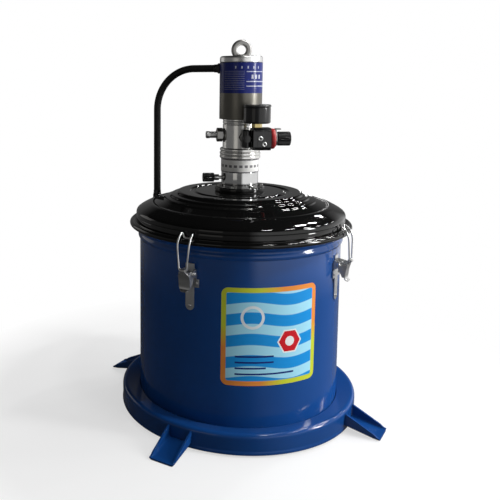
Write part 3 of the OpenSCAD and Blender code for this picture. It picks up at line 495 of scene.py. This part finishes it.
def back_plate():
    """The plate's outline (y, z) with its lugs and tongue, three rivets, and the ears on both sides."""
    tongue = arc((0, -54), 7.5, 0, -180, 17)
    half = [(7.5, 14), (7.5, 6), (11.8, 5), (11.8, -10), (16, -10), (16, -23), (7.5, -23)]
    outline = np.concatenate([half, tongue, [(-a, b) for a, b in half[::-1]]])
    ear = np.concatenate([[(-7.4, 6)], arc((0, 0), 4.6, 80, -80, 12), [(-7.4, -9)]])
    rivet = swapped(lathe([(0, 0), (2.6, 0), (2.4, 1.1), (0, 1.5)], 0.9, 24, False), (2, 0, 1))
    spots = [(PLATE_FRONT - 0.05, y, z) for y, z in ((12, -16.5), (-12, -16.5), (0, -54))]
    return [swapped(slab(outline, PLATE_BACK, PLATE_FRONT), (2, 0, 1)),
            *[placed(rivet, spot) for spot in spots], *both_sides(ear, EAR_Y)]


def channel_lever():
    """The web with its curled finger tab, narrow at the knuckle and round at the tab; cheeks; knuckle."""
    line = rounded([(14.4, 5.2), (10.4, -5), (8.2, -21), (9.2, -25.2), (13.3, -27.3)],
                   [1, 4, 3, 3, 1], False, 7)
    half_widths = np.interp(line[:, 1], [-27.4, -26.6, -24, -20, 1.5, 4.5], [4.2, 6.6, 8.6, 9.9, 9.9, 4.4])
    y = np.linspace(-1, 1, 13)[None] * half_widths[:, None]
    web = np.stack([line[:, :1] + 0 * y, y, line[:, 1:] + 0 * y], -1)
    cheek = np.concatenate([
        arc((0, 0), 5, 85, 225, 14), [(5.4, -20.5), (8.6, -20.5), (10.8, -4.5), (12.3, 3.4)]])
    knuckle = lathe([(1.5, -4.5), (3.3, -4.5), (3.3, 4.5), (1.5, 4.5)], 0.3, 30, steps=4)
    return [plated(web, 1.5), *both_sides(cheek, CHEEK_Y), placed(knuckle, (15.5, 0, 7.5), lie="Y")]


def bail(radius=1.4):
    """Corners of the closed wire: from the knuckle up one side over the bead, then down the other side."""
    side = [(15.5, 6.6, 7.5), (14.8, 10.3, 46), (9.96, 10.2, 57.12), (0.26, 9.6, 63.92), (1.66, 5, 55.72)]
    corners = side + [(a, -b, c) for a, b, c in side[::-1]]
    reach = [2.4, 9, 5, 3, 2.4]
    return [wire(rounded(corners, reach + reach[::-1], steps=9), radius)]


def pin():
    """The pivot pin with a head at each end."""
    half = lathe([(0, 14.6), (2.3, 14.4), (3.2, 13.4), (3.2, 12.3), (2, 12.2), (2, 0)], 0.5, 28, False, 4)
    return [placed(half, lie="Y"), placed(half, lie="-Y")]


def on_each_corner(shells):
    """The shells of one latch, drawn from its pivot, on all four diagonals."""
    return [shell for corner in CORNERS for shell in moved(shells, PIVOT, corner)]


zinc = grained("zinc_plate", "bright_zinc", (0.66, 0.66, 0.66), (0.86, 0.86, 0.85),
               (38, 3), (120, 4, 0.2, 0.22), (260, 3, 2.5e-5), metallic=1.0)
piece("latch_back_plates", on_each_corner(back_plate()), zinc, ["latch_plates"], bevel=0.3)
piece("latch_pivot_pins", on_each_corner(pin()), zinc, ["latch_pins"])
for i, corner_turn in enumerate(CORNERS, 1):
    lever_shells, bail_shells = (moved(shells, PIVOT, corner_turn) for shells in (channel_lever(), bail()))
    piece(f"lever_{i}", lever_shells, zinc, [f"latch_lever_{i}"], f"lever_{i}", bevel=0.25)
    piece(f"wire_bail_{i}", bail_shells, zinc, [f"latch_bail_{i}"], f"bail_{i}")

# Foot of the pump: a black flange bolted through the lid over a gasket, then the polished tube.
# A white printed band with dark edges follows, and the turned body with its ring flange above that.
PUMP = -10.0  # the pump's turn about the drum's axis
FLANGE_BORE, FLANGE_LOW, FLANGE_TOP = 19.6, 382.4, 389.4
BOLT_COUNT, BOLT_CIRCLE, NUT_LOW, NUT_TOP = 6, 37.5, 376.8, 379.4
TUBE_TOP, BODY_TOP = 415.4, 506.8


def hexagon(radius, low, high, edge=0.8):
    """A hexagon bar whose corners are chamfered at both ends."""
    line = [(0, low), (radius - edge, low), (radius, low + edge * 0.6), (radius, high - edge * 0.6),
            (radius - edge, high), (0, high)]
    return revolved(line, 6, False)


flange = lathe(
    [(FLANGE_BORE, FLANGE_LOW), (43, FLANGE_LOW), (43, FLANGE_TOP), (33.2, FLANGE_TOP), (32.4, 389.9),
     (FLANGE_BORE, 389.3)],
    [1, 1, 2.2, 0.6, 0.4, 1])
piece("pump_flange", [flange], lid_black, ["lid_flange"])
bolt = [hexagon(4.3, FLANGE_TOP, 392, 0.5), rod(2.5, NUT_LOW, FLANGE_TOP + 0.1),
        hexagon(4.3, NUT_LOW, NUT_TOP, 0.5)]
bolts = []
for i in range(BOLT_COUNT):
    a = 2 * math.pi * i / BOLT_COUNT
    bolts += moved(bolt, (BOLT_CIRCLE * math.cos(a), BOLT_CIRCLE * math.sin(a), 0), PUMP)
steel_dull = grained("dull_zinc_plate", "dull_zinc", (0.28, 0.275, 0.265), (0.46, 0.455, 0.44),
                     (50, 4), (140, 3, 0.2, 0.26), (330, 3, 2e-5), metallic=1.0)
piece("flange_bolt_set", bolts, steel_dull, ["flange_bolts"])
flange_gasket = lathe([(FLANGE_BORE, 380.95), (42, 380.95), (42, 382.35), (FLANGE_BORE, 382.35)], 0.3, 160)
piece("flange_gasket_ring", [flange_gasket], rubber, ["flange_gasket"])


def turned(name, slot, dark, light, smooth, ridge):
    """Metal turned on a lathe: fine rings at irregular heights change its brightness, polish and height."""
    f = Finish(name, slot, metallic=1.0)
    rings = f.noise(1, 3, (6, 6, 2600))
    f.colour(f.blend(f.noise(30, 3), dark, light))
    f.roughness(rings * 0.14 + smooth)
    f.relief(rings * ridge + f.noise(70) * 2e-6)
    return f


polished = turned("polished_tube", "polished_steel", (0.60, 0.60, 0.61), (0.76, 0.76, 0.75), 0.02, 1e-6)
tube = lathe([(28, FLANGE_TOP), (32, FLANGE_TOP), (32, TUBE_TOP), (28, TUBE_TOP)], 0.5)
piece("polished_pump_tube", [tube], polished, ["pump_tube"])

BAND_MIDDLE, DASH_MIDDLE = 0.4271, 0.4266
band_print = Finish("white_band_print", "band_white", coat_weight=0.8, coat_roughness=0.08)
band_x, band_y, band_z = band_print.axes(band_print.place())
off_middle = abs(band_z - BAND_MIDDLE)
edge_lines = (off_middle > 0.0099) * (off_middle < 0.0112)
around = band_y.math("ARCTAN2", band_x)
dashes = (abs((around * 3.5).math("FRACT") - 0.5) < 0.3) * (abs(band_z - DASH_MIDDLE) < 0.0022)
paint = band_print.blend(band_print.noise(40, 3), (0.80, 0.79, 0.77), (0.90, 0.90, 0.88))
band_print.colour(band_print.blend((edge_lines + dashes * 0.85).kept(), paint, (0.03, 0.03, 0.045)))
band_print.roughness(band_print.noise(60, 3) * 0.15 + 0.3)
collar = lathe([(31.2, 415.6), (32.8, 415.6), (32.8, 438.6), (31.2, 438.6)], 0.5)
piece("white_collar", [collar], band_print, ["collar_band"])

machined = turned("turned_steel", "machined_steel", (0.70, 0.70, 0.68), (0.88, 0.87, 0.85), 0.15, 3e-6)
pump_body = lathe([
    (14.5, TUBE_TOP), (31, TUBE_TOP), (31, 438.8), (34.3, 438.8), (35.2, 440), (35.2, 443.6), (33.9, 444.2),
    (33.9, 445.2), (35.2, 445.8), (35.2, 449.4), (33.5, 450.2), (33.5, 451.4), (34.8, 452), (34.8, 455.6),
    (33.6, 456.8), (30.4, 456.8), (30.4, 497.2), (29.7, 497.8), (29.7, 499.4), (30.4, 500), (30.4, 502.2),
    (29.9, 502.8), (29.9, 503.6), (30.4, 504.2), (30.4, BODY_TOP), (14.5, BODY_TOP)], 0.6, steps=4)
piece("turned_pump_body", [pump_body], machined, ["pump_body"])

# Air motor: a bright drawn cylinder with a printed film round its upper half, a turned cap and a lifting eye.
# The film is deep blue with white rules and blocks only. In its print u runs round it and v up it, 0 to 1.
MOTOR_R, MOTOR_LOW, MOTOR_HIGH, EYE_Z = 36.8, 507.0, 603.8, 625.4
drawn = turned("drawn_cylinder", "motor_steel", (0.13, 0.125, 0.11), (0.21, 0.20, 0.175), 0.26, 2e-6)
cylinder = lathe([(34.8, MOTOR_LOW), (MOTOR_R, MOTOR_LOW), (MOTOR_R, MOTOR_HIGH), (34.8, MOTOR_HIGH)], 0.5)
piece("motor_tube", [cylinder], drawn, ["motor_cylinder"])


def between(value, low, high):
    """1 where the value is between low and high, else 0."""
    return (value > low) * (value < high)


def film_wrap(radius=MOTOR_R + 0.06, low=551.9, high=603.5, wall=0.28, rows=12, columns=200):
    """The film's grid, wound once round the cylinder from the back."""
    u = np.linspace(0.25, 1.25, columns)[None]
    v = np.linspace(0, 1, rows)[:, None]
    a = u * 2 * np.pi
    z = low + v * (high - low)
    grid = np.stack([radius * np.cos(a) + 0 * v, radius * np.sin(a) + 0 * v, z + 0 * a], -1)
    uv = np.stack([(u + 0 * v) % 1.0, v + 0 * u], -1).reshape(-1, 2)
    return plated(grid, wall), np.concatenate([uv, uv])


film = Finish("motor_film_print", "label_blue", coat_weight=0.3, coat_roughness=0.14, specular_ior_level=0.1)
u, v, _ = film.axes(film.node("ShaderNodeUVMap"))
rules = (between(v, 0.69, 0.715) + between(v, 0.365, 0.395) + between(v, 0.215, 0.245)) * (u > 0.735)
fine_rows = ((v * 17).math("FRACT") < 0.22) * between(v, 0.12, 0.76) * between(u, 0.56, 0.72)
blocks = between(v, 0.47, 0.6) * between((u * 30).math("FRACT"), 0.2, 0.7) * between(u, 0.765, 0.868)
dots = between(v, 0.8, 0.88) * between((u * 22).math("FRACT"), 0.3, 0.5) * between(u, 0.62, 0.87)
film_blue = film.blend(film.noise(25, 3), (0.008, 0.014, 0.12), (0.014, 0.026, 0.20))
film_white = (fine_rows * 0.35 + (rules + blocks + dots) * 0.8).kept()
film.colour(film.blend(film_white, film_blue, (0.62, 0.64, 0.72)))
film.roughness(film.noise(45, 3) * 0.14 + 0.26)
wrap, wrap_uv = film_wrap()
piece("motor_film", [wrap], film, ["motor_label"], uv=wrap_uv)

cast = grained("satin_aluminium", "cast_silver", (0.70, 0.70, 0.69), (0.86, 0.86, 0.85),
               (60, 4), (90, 4, 0.18, 0.2), (400, 3, 1.5e-5), metallic=1.0)
cap = lathe(
    [(0, 604), (36.2, 604), (MOTOR_R, 604.7), (MOTOR_R, 612.4), (34.6, 614.8), (21, 614.8), (19.5, 614),
     (0, 614)],
    [0.2, 0.4, 0.4, 1.6, 1.4, 0.8, 0.8, 0.2], closed=False)
piece("motor_end_cap", [cap], cast, ["motor_cap"])
eye = lathe(
    [(8, -3.2), (9.6, -4.5), (15.6, -4.5), (17.5, -2.6), (17.5, 2.6), (15.6, 4.5), (9.6, 4.5), (8, 3.2)],
    1.4, 96)
eye_points, eye_faces = placed(eye, (0, 0, EYE_Z), lie="Y")
eye_points = np.column_stack([eye_points[:, :2], np.maximum(eye_points[:, 2], 614.3)])
eye_foot = lathe([(0, 614.1), (12, 614.1), (12, 616.2), (10.4, 617.4), (0, 617.4)], 0.7, 60, False)
piece("lifting_ring", moved([(eye_points, eye_faces), eye_foot], turn=PUMP), steel_dull, ["lifting_eye"])

# Grease outlet and bleed screw on the left of the pump: hexagon nut and threaded nipple,
# and below them a stem with a silver ring and a black knurled cap.
OUTLET_Z, BLEED_Z = 479.3, 404.4


def bar(radii, z, columns):
    """A bar along Z from its grid of radii, a row for each height, closed by a flat face at each end."""
    a = np.linspace(0, 2 * np.pi, columns, endpoint=False)[None]
    grid = np.stack([radii * np.cos(a), radii * np.sin(a), z + 0 * a], -1)
    ends = [list(range(columns)), list(range((len(z) - 1) * columns, len(z) * columns))]
    return grid.reshape(-1, 3), quads(len(z), columns, False, True).tolist() + ends


def threaded(radius, low, high, pitch, depth, columns=48):
    """A rod whose radius falls by a V groove that climbs one pitch a turn."""
    z = np.linspace(low, high, int((high - low) / pitch * 8) + 1)[:, None]
    share = np.linspace(0, 1, columns, endpoint=False)[None]
    groove = np.abs((z / pitch - share) % 1.0 - 0.5) * 2
    taper = np.minimum(1, np.minimum(z - low, high - z) / pitch)
    return bar(radius - depth * (1 - groove * taper), z, columns)


def knurled(radius, low, high, count, depth, twist=0.0, rows=60, columns=288):
    """A rod with raised ridges: straight ones, or crossed ones where twist turns them both ways along it."""
    z = np.linspace(low, high, rows)[:, None]
    share = np.linspace(0, 1, columns, endpoint=False)[None]
    ridge = np.minimum(*[np.abs((share * count + s * twist * (z - low)) % 1.0 - 0.5) * 2 for s in (-1, 1)])
    edge = np.minimum(z - low, high - z)
    return bar(radius - depth * ridge - 1.2 * (1 - np.minimum(1, edge / 1.4)) ** 2, z, columns)


def on_left(shells, height):
    """Shells drawn along Z, laid out to the left of the pump at a height."""
    return moved(shells, (0, 0, height), PUMP, "-X")


nut = [hexagon(12.1, 30.9, 41.7, 1.4),
       lathe([(0, 29.9), (9.5, 29.9), (9.5, 31.2), (0, 31.2)], 0.3, 48, False)]
piece("outlet_hex_nut", on_left(nut, OUTLET_Z), steel_dull, ["outlet_nut"])
nipple = [
    threaded(6.1, 41.4, 53.5, 1.8, 0.8),
    lathe([(3.5, 20), (5.4, 20), (5.4, 53), (6.2, 54), (6.2, 59.2), (5.2, 60.3), (3.5, 60.3)],
          0.4, 48, steps=4)]
piece("outlet_hose_nipple", on_left(nipple, OUTLET_Z), zinc, ["outlet_nipple"])
black_plastic = grained(
    "moulded_black", "gauge_black", (0.007, 0.007, 0.008), (0.014, 0.014, 0.015),
    (40, 3), (70, 3, 0.16, 0.28), (1300, 2, 8e-6), coat_weight=0.8, coat_roughness=0.1, specular_ior_level=0.1)
stem = [rod(3, 28.2, 57.0, 0.4), lathe([(2.9, 36.5), (5.3, 36.5), (5.3, 45), (2.9, 45)], 1.1, 48, steps=6)]
piece("bleed_screw_stem", on_left(stem, BLEED_Z), zinc, ["bleed_stem"])
bleed_cap = knurled(7.95, 45.2, 65.2, 24, 0.7, 0.1)
piece("bleed_screw_knob", on_left([bleed_cap], BLEED_Z), black_plastic, ["bleed_cap"], "bleed_screw_cap")

# Air regulator in front of the pump: an elbow, the black chamfered block with its two chrome ringed ports,
# a red ring and a bent grey plate held on the neck, and the ribbed black knob that sets the pressure.
AIR = (-62.0, 477.3)  # y and z of the regulator's axis in the pump's own frame
BLOCK_HALF_Y, BLOCK_HALF_Z, CHAMFER = 17.0, 18.5, 5.0
PORTS = ((19.8, 1.5), (26.3, -8))  # along the axis, and above it
KNOB_END = 72.74


def at_air(shells, start=0.0, lie="Z"):
    """Shells drawn about the regulator's axis, placed on it; start is how far along it."""
    return moved(shells, (start, *AIR), PUMP, lie)


satin_black = grained(
    "satin_black_paint", "body_black", (0.009, 0.009, 0.010), (0.02, 0.02, 0.021),
    (50, 4), (80, 3, 0.2, 0.32), (520, 3, 2e-5), coat_weight=0.9, coat_roughness=0.1, specular_ior_level=0.1)
post = lathe([(0, -15), (8, -15), (8, 15), (0, 15)], [0.2, 1.5, 3, 0.2], 60, False)
leg = [rod(6.5, -8, 39.6, 0.4), lathe([(6, 27), (8.3, 27), (8.3, 31.2), (6, 31.2)], 0.6, 6, steps=4),
       lathe([(6, 7.5), (8, 8.4), (7.4, 12), (6, 13)], 0.6, 40, steps=4)]
piece("inlet_elbow_casting", at_air([post], -0.4) + at_air(leg, -0.4, "Y"), satin_black, ["inlet_elbow"])

w, h = BLOCK_HALF_Y - CHAMFER, BLOCK_HALF_Z - CHAMFER
block_line = [(-w, -BLOCK_HALF_Z), (w, -BLOCK_HALF_Z), (BLOCK_HALF_Y, -h), (BLOCK_HALF_Y, h),
              (w, BLOCK_HALF_Z), (-w, BLOCK_HALF_Z), (-BLOCK_HALF_Y, h), (-BLOCK_HALF_Y, -h)]
block = swapped(slab(rounded(block_line, 1.4, steps=4), 8.1, 37.8), (2, 0, 1))
boss_line = rounded([(-9, -12), (9, -12), (9, 7), (-9, 7)], 2.5, steps=5)
boss = swapped(slab(boss_line, 16.9, 17.4), (0, 2, 1), (1, -1, 1))
neck = [rod(9, 36.8, 50.4, 0.5), threaded(8.9, 46.5, 50.2, 1.2, 0.5), rod(4, 50, 62.3, 0.4)]
piece("regulator_casting", at_air([block]) + at_air([boss], 24) + at_air(neck, lie="X"), satin_black,
      ["regulator_body"], bevel=0.5)
port_ring = lathe([(2, 0), (4, 0), (4, 0.9), (3.2, 1.6), (2.4, 1.4), (2, 0.7)], 0.3, 40, steps=4)
port_rings = [placed(port_ring, (x, AIR[0] - BLOCK_HALF_Y, AIR[1] + z), PUMP, "-Y") for x, z in PORTS]
piece("chrome_port_rings", port_rings, zinc, ["port_rings"])
red = grained("red_moulding", "red_ring", (0.36, 0.012, 0.014), (0.50, 0.02, 0.02),
              (45, 3), (90, 3, 0.18, 0.3), coat_weight=0.3, coat_roughness=0.2)
red_ring = lathe([(9.2, 37.9), (15.2, 37.9), (17, 40), (17, 44.6), (15.2, 46.5), (9.2, 46.5)],
                 [0.5, 2, 2.4, 2.4, 2, 0.5], 120, steps=7)
piece("red_panel_ring", at_air([red_ring], lie="X"), red, ["panel_ring"])
bend = rounded([(0, 9.2), (0, 17), (9.2, 17)], [1, 2.4, 1], False, 9)
wide = np.linspace(-6, 6, 9)[None]
bend_x, bend_z = bend[:, :1], bend[:, 1:]
tab = plated(np.stack([46.6 + bend_x + 0 * wide, wide + 0 * bend_x, bend_z + 0 * wide], -1), -2)
washer = lathe([(9.2, 46.6), (13, 46.6), (13, 48.6), (9.2, 48.6)], 0.4, 80, steps=4)
piece("bent_grey_bracket", at_air([tab]) + at_air([washer], lie="X"), steel_dull, ["bracket_plate"],
      bevel=0.3)
knob = [knurled(11.75, 50.8, 72.3, 24, 1.0),
        lathe([(0, KNOB_END), (8.6, KNOB_END), (9.2, 72.2), (9.2, 70), (0, 70)], 0.5, 80, False)]
piece("pressure_knob", at_air(knob, lie="X"), black_plastic, ["adjusting_knob"], "regulator_knob")

# Pressure gauge on the regulator: brass hexagon stem, black cup with a bezel, printed dial, needle and glass.
# The dial has ticks and plain numbers from 0 to 10 over three quarters of a turn.
GAUGE = (16.5, -62.0, 502.8)
SWEEP, DIAL_START, DIAL_TICKS, DIAL_Z, NUMBERS_R = 270, 180, 50, 24.9, 12.6


def on_gauge(shells):
    """Shells drawn upwards from the gauge's foot, set on the regulator."""
    return moved(shells, GAUGE, PUMP)


brass = turned("bright_brass", "brass", (0.62, 0.48, 0.20), (0.78, 0.66, 0.34), 0.14, 2e-6)
piece("brass_stem", on_gauge([hexagon(9, -7, -0.2, 0.9), rod(5, -12, 0.6)]), brass, ["gauge_stem"])
cup = lathe([
    (0, 0), (20.4, 0), (22.3, 1.8), (22.5, 3), (22.5, 25.4), (22, 26), (22.2, 26.6), (23.1, 27.2), (23.1, 30),
    (22.2, 31), (21.2, 31), (20.5, 30.2), (20.5, 24), (0, 24)], 0.8, 140, False)
arbor = rod(0.8, 23.5, 27.0, 0.2, 16)
piece("gauge_cup", on_gauge([cup, arbor]), black_plastic, ["gauge_case"])
dial_white = Finish("printed_dial", "dial_white", base_color=(0.8, 0.8, 0.78, 1))
dial_white.roughness(dial_white.noise(60, 3) * 0.12 + 0.4)
dial = lathe([(1, 24), (20.3, 24), (20.3, DIAL_Z), (1, DIAL_Z)], 0.2, 100, steps=3)
piece("dial_plate", on_gauge([dial]), dial_white, ["gauge_dial"])
dial_ink = Finish("dial_ink", "body_black", base_color=(0.015, 0.015, 0.02, 1))
dial_ink.roughness(dial_ink.noise(90, 2) * 0.1 + 0.4)
marks = []
for i in range(DIAL_TICKS + 1):
    inner, half = (15.6, 0.28) if i % 10 == 0 else (16.6, 0.2) if i % 5 == 0 else (17.4, 0.1)
    tick = slab([(inner, -half), (19, -half), (19, half), (inner, half)], DIAL_Z, DIAL_Z + 0.06)
    marks.append(placed(tick, turn=DIAL_START - SWEEP * i / DIAL_TICKS))
for value in range(0, 11, 2):
    text = bpy.data.curves.new(f"number_{value}", "FONT")
    text.body, text.size, text.resolution_u = str(value), 4.2, 4
    text.align_x, text.align_y = "CENTER", "CENTER"
    holder = bpy.data.objects.new(f"number_{value}", text)
    flat = bpy.data.meshes.new_from_object(holder)
    a = math.radians(DIAL_START - SWEEP * value / 10)
    middle = (NUMBERS_R * math.cos(a), NUMBERS_R * math.sin(a), DIAL_Z + 0.05)
    number_faces = [list(p.vertices) for p in flat.polygons]
    marks.append((np.array([v.co for v in flat.vertices]) + middle, number_faces))
    bpy.data.objects.remove(holder)
    bpy.data.meshes.remove(flat)
piece("dial_marks", on_gauge(marks), dial_ink)
needle_line = rounded([(-15, 0), (-1.6, -1.5), (5, -0.8), (5, 0.8), (-1.6, 1.5)], 0.3, steps=3)
hub = lathe([(0.86, 25.6), (2.4, 25.6), (2.4, 26.4), (0.86, 26.4)], 0.2, 32, steps=3)
piece("pressure_needle", on_gauge([slab(needle_line, 25.65, 26.3), hub]), dial_ink, ["gauge_needle"],
      "needle")
clear = Finish("gauge_window", "clear", base_color=(0.95, 0.97, 0.98, 1), roughness=0.03,
               transmission_weight=1.0, ior=1.45)
piece("gauge_window_disc", on_gauge([rod(20.3, 29.3, 30.8, 0.3, 100)]), clear, ["gauge_glass"])

# Air hose from the motor down to the lid: smooth black rubber, 13 mm, with a hexagon fitting above
# and a turned one below, each with a crimped sleeve over the hose. It bends once, in a quarter circle.
HOSE_R, HOSE_Z, HOSE_BEND = 6.45, 594.3, 75.0
flat_run = np.stack([np.linspace(51, 90, 12), np.full(12, HOSE_Z)], 1)
quarter = arc((HOSE_REACH - HOSE_BEND, HOSE_Z - HOSE_BEND), HOSE_BEND, 90, 0, 40)
drop = np.stack([np.full(24, HOSE_REACH), np.linspace(518.5, PAD_Z + 8.13, 24)], 1)
route = np.concatenate([flat_run, quarter, drop])
hose_shell = wire(np.column_stack([np.zeros(len(route)), route]), HOSE_R, 36, False)
piece("air_hose", [placed(swapped(hose_shell, (1, 0, 2)), turn=HOSE_TURN)], rubber, ["hose"])
upper = [
    hexagon(9, 37.1, 43.8, 0.9),
    lathe([(4, 43.4), (7.6, 43.4), (7.6, 45), (7.1, 45.4), (7.1, 50.2), (4, 50.6)], 0.5, 40),
    rod(4, 26.9, 50.2)]
piece("upper_hose_fitting", moved(upper, (0, 0, HOSE_Z), HOSE_TURN, "X"), black_plastic,
      ["hose_fitting_upper"])
lower = [
    lathe([(0, 0.2), (7.2, 0.2), (7.2, 2.4), (6.9, 3), (6.9, 7.8), (0, 7.8)], [0.1, 0.5, 0.6, 0.5, 0.8, 0.1],
          48, False),
    rod(4, -7.8, 1)]
piece("lower_hose_fitting", moved(lower, (HOSE_REACH, 0, PAD_Z), HOSE_TURN), black_plastic,
      ["hose_fitting_lower"])

# Inside: the follower plate and its wiper in the drum, and the working parts of the pump and the air motor.
# Their solids stay as they are and only get their metals.
INSIDE = {
    machined: ["motor_base", "valve_block", "air_piston", "changeover_spool", "suction_tube", "foot_valve",
               "plunger"],
    zinc: ["check_ball", "connecting_rod"],
    rubber: ["piston_seal", "rod_packing", "follower_seal"],
    cast: ["follower_plate"],
}
for finish, names in INSIDE.items():
    for name in names:
        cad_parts[name].data.materials.clear()
        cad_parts[name].data.materials.append(finish.material)

# Studio: a pale floor and a white backdrop; the enamels and metals mirror a dim room with a bright side.
# That side lies to the right and in front, under the ceiling lamps and beside a tall window.
LIT_SIDE = (math.cos(math.radians(-25)), math.sin(math.radians(-25)))
FLOOR_HALF, SHADOW_TO, ROOM_FROM = 9, 0.2, 0.8


def seen(value):
    """1 for rays that come straight from the camera, and 1 for those that gloss or glass sends on."""
    paths = value.tree.nodes.new("ShaderNodeLightPath")
    straight, glossy, through = (
        Value(value.tree, paths.outputs[f"Is {kind} Ray"]) for kind in ("Camera", "Glossy", "Transmission"))
    return straight, (glossy + through).kept()


def lit_sector(east, north):
    """1 within 63 degrees of the lit side, 0 beyond 75 degrees from it."""
    return ((east * LIT_SIDE[0] + north * LIT_SIDE[1] - 0.259) * 5.1).kept()


floor_mesh = bpy.data.meshes.new("floor")
floor_mesh.from_pydata([(x * FLOOR_HALF, y * FLOOR_HALF, 0) for x, y in ((-1, -1), (1, -1), (1, 1), (-1, 1))],
                       [], [(0, 1, 2, 3)])
floor_paint = Finish("floor_paint", "", roughness=0.7)
floor_x, floor_y, _ = floor_paint.axes(floor_paint.place())
away = distance(floor_x, floor_y)
far = ((away - ROOM_FROM) * 2.5).kept()
by_camera, by_gloss = seen(away)
floor_paint.colour(floor_paint.blend(by_camera, (0.25, 0.25, 0.25), (0.85, 0.85, 0.85)))
mirrored = lit_sector(floor_x / away, floor_y / away) * (far * 0.7 + 0.12) + far * 0.08 + 0.04
glow = floor_paint.node(
    "ShaderNodeEmission", sockets={"Color": (1, 1, 1, 1), "Strength": by_camera + by_gloss * mirrored})
white_share = (((away - SHADOW_TO) * 2.5).kept(0.6) * by_camera + by_gloss).kept()
plain = Value(floor_paint.tree, floor_paint.shader.outputs[0])
mixed = floor_paint.node("ShaderNodeMixShader", sockets={0: white_share, 1: plain, 2: glow})
floor_paint.feed(floor_paint.tree.nodes["Material Output"], 0, mixed)
floor_mesh.materials.append(floor_paint.material)
floor = bpy.data.objects.new("floor", floor_mesh)
bpy.context.scene.collection.objects.link(floor)

world = bpy.context.scene.world or bpy.data.worlds.new("studio")
bpy.context.scene.world = world
world.use_nodes = True
room = world.node_tree
looks = room.nodes.new("ShaderNodeTexCoord")
parts = room.nodes.new("ShaderNodeSeparateXYZ")
room.links.new(looks.outputs["Generated"], parts.inputs[0])
look_x, look_y, look_z = (Value(room, out) for out in parts.outputs)
by_camera, by_gloss = seen(look_x)
low = ((0.47 - look_z) * 4.8).kept()
mirrored = low * (lit_sector(look_x, look_y) * 0.75 + 0.13) + 0.012
spread = (look_x * 1.4 - 0.2).kept() + 0.08
strength = by_camera + by_gloss * mirrored + (1 - (by_camera + by_gloss).kept()) * spread
room.links.new(strength.socket, room.nodes["Background"].inputs["Strength"])
room.nodes["Background"].inputs["Color"].default_value = (1, 1, 1, 1)


def lamp(name, spot, facing, wide, tall, radiance, colour=(1, 1, 1)):
    """A flat lamp of an even radiance; it faces down, turned by the given Euler angles in degrees."""
    light = bpy.data.lights.new(name, "AREA")
    light.shape, light.size, light.size_y, light.color = "RECTANGLE", wide, tall, colour
    light.energy = math.pi * wide * tall * radiance
    made = bpy.data.objects.new(name, light)
    bpy.context.scene.collection.objects.link(made)
    made.location, made.rotation_euler = spot, [math.radians(a) for a in facing]


def standing(name, azimuth, low, high, distance, wide, radiance, colour=(1, 1, 1)):
    """A lamp that stands upright at an azimuth, from one height to another, and faces the drum."""
    a = math.radians(azimuth)
    spot = (distance * math.cos(a), distance * math.sin(a), (low + high) / 2)
    lamp(name, spot, (90, 0, azimuth + 90), wide, high - low, radiance, colour)


LID_Z, CEILING = 0.36, 2.2  # the ceiling's height is over the lid, where each lamp's elevation is taken
CEILING_LAMPS = ((-62, 62), (-32, 53), (-13, 44), (0, 37), (11, 31), (20, 26), (22, 52), (29, 43), (40, 33))
for i, (azimuth, elevation) in enumerate(CEILING_LAMPS, 1):
    a, reach = math.radians(azimuth), CEILING / math.tan(math.radians(elevation))
    spot = (reach * math.cos(a), reach * math.sin(a), LID_Z + CEILING)
    lamp(f"ceiling_lamp_{i}", spot, (0, 0, 35), 0.42, 0.08, 130)
standing("tall_window", -31, 0.55, 1.75, 2.4, 0.34, 38)
standing("far_window", 60, 0.2, 0.9, 3.0, 0.12, 3)
standing("left_card", 130, 0.3, 1.5, 2.4, 1.2, 0.5, (1, 0.98, 0.95))
standing("front_card", -138, 0.1, 1.0, 2.3, 1.0, 0.35, (1, 0.96, 0.88))

# Camera: it stands where the photograph was taken, 1.19 m from the drum's axis and 0.57 m up.
# Its lens is the photograph's, and the shift makes up for the crop.
HEADING, TILT_DOWN = 77.59, 6.70  # degrees from +X, and below the horizon
camera_data = bpy.data.cameras.new("camera")
camera_data.sensor_width, camera_data.lens = 36, 48.84
camera_data.shift_x, camera_data.shift_y = 0.2, -0.178
camera = bpy.data.objects.new("camera", camera_data)
bpy.context.scene.collection.objects.link(camera)
camera.location = (-0.4082, -1.1215, 0.5718)
camera.rotation_euler = (math.radians(90 - TILT_DOWN), 0, math.radians(HEADING - 90))
bpy.context.scene.camera = camera
bpy.context.scene.view_settings.view_transform = "Standard"
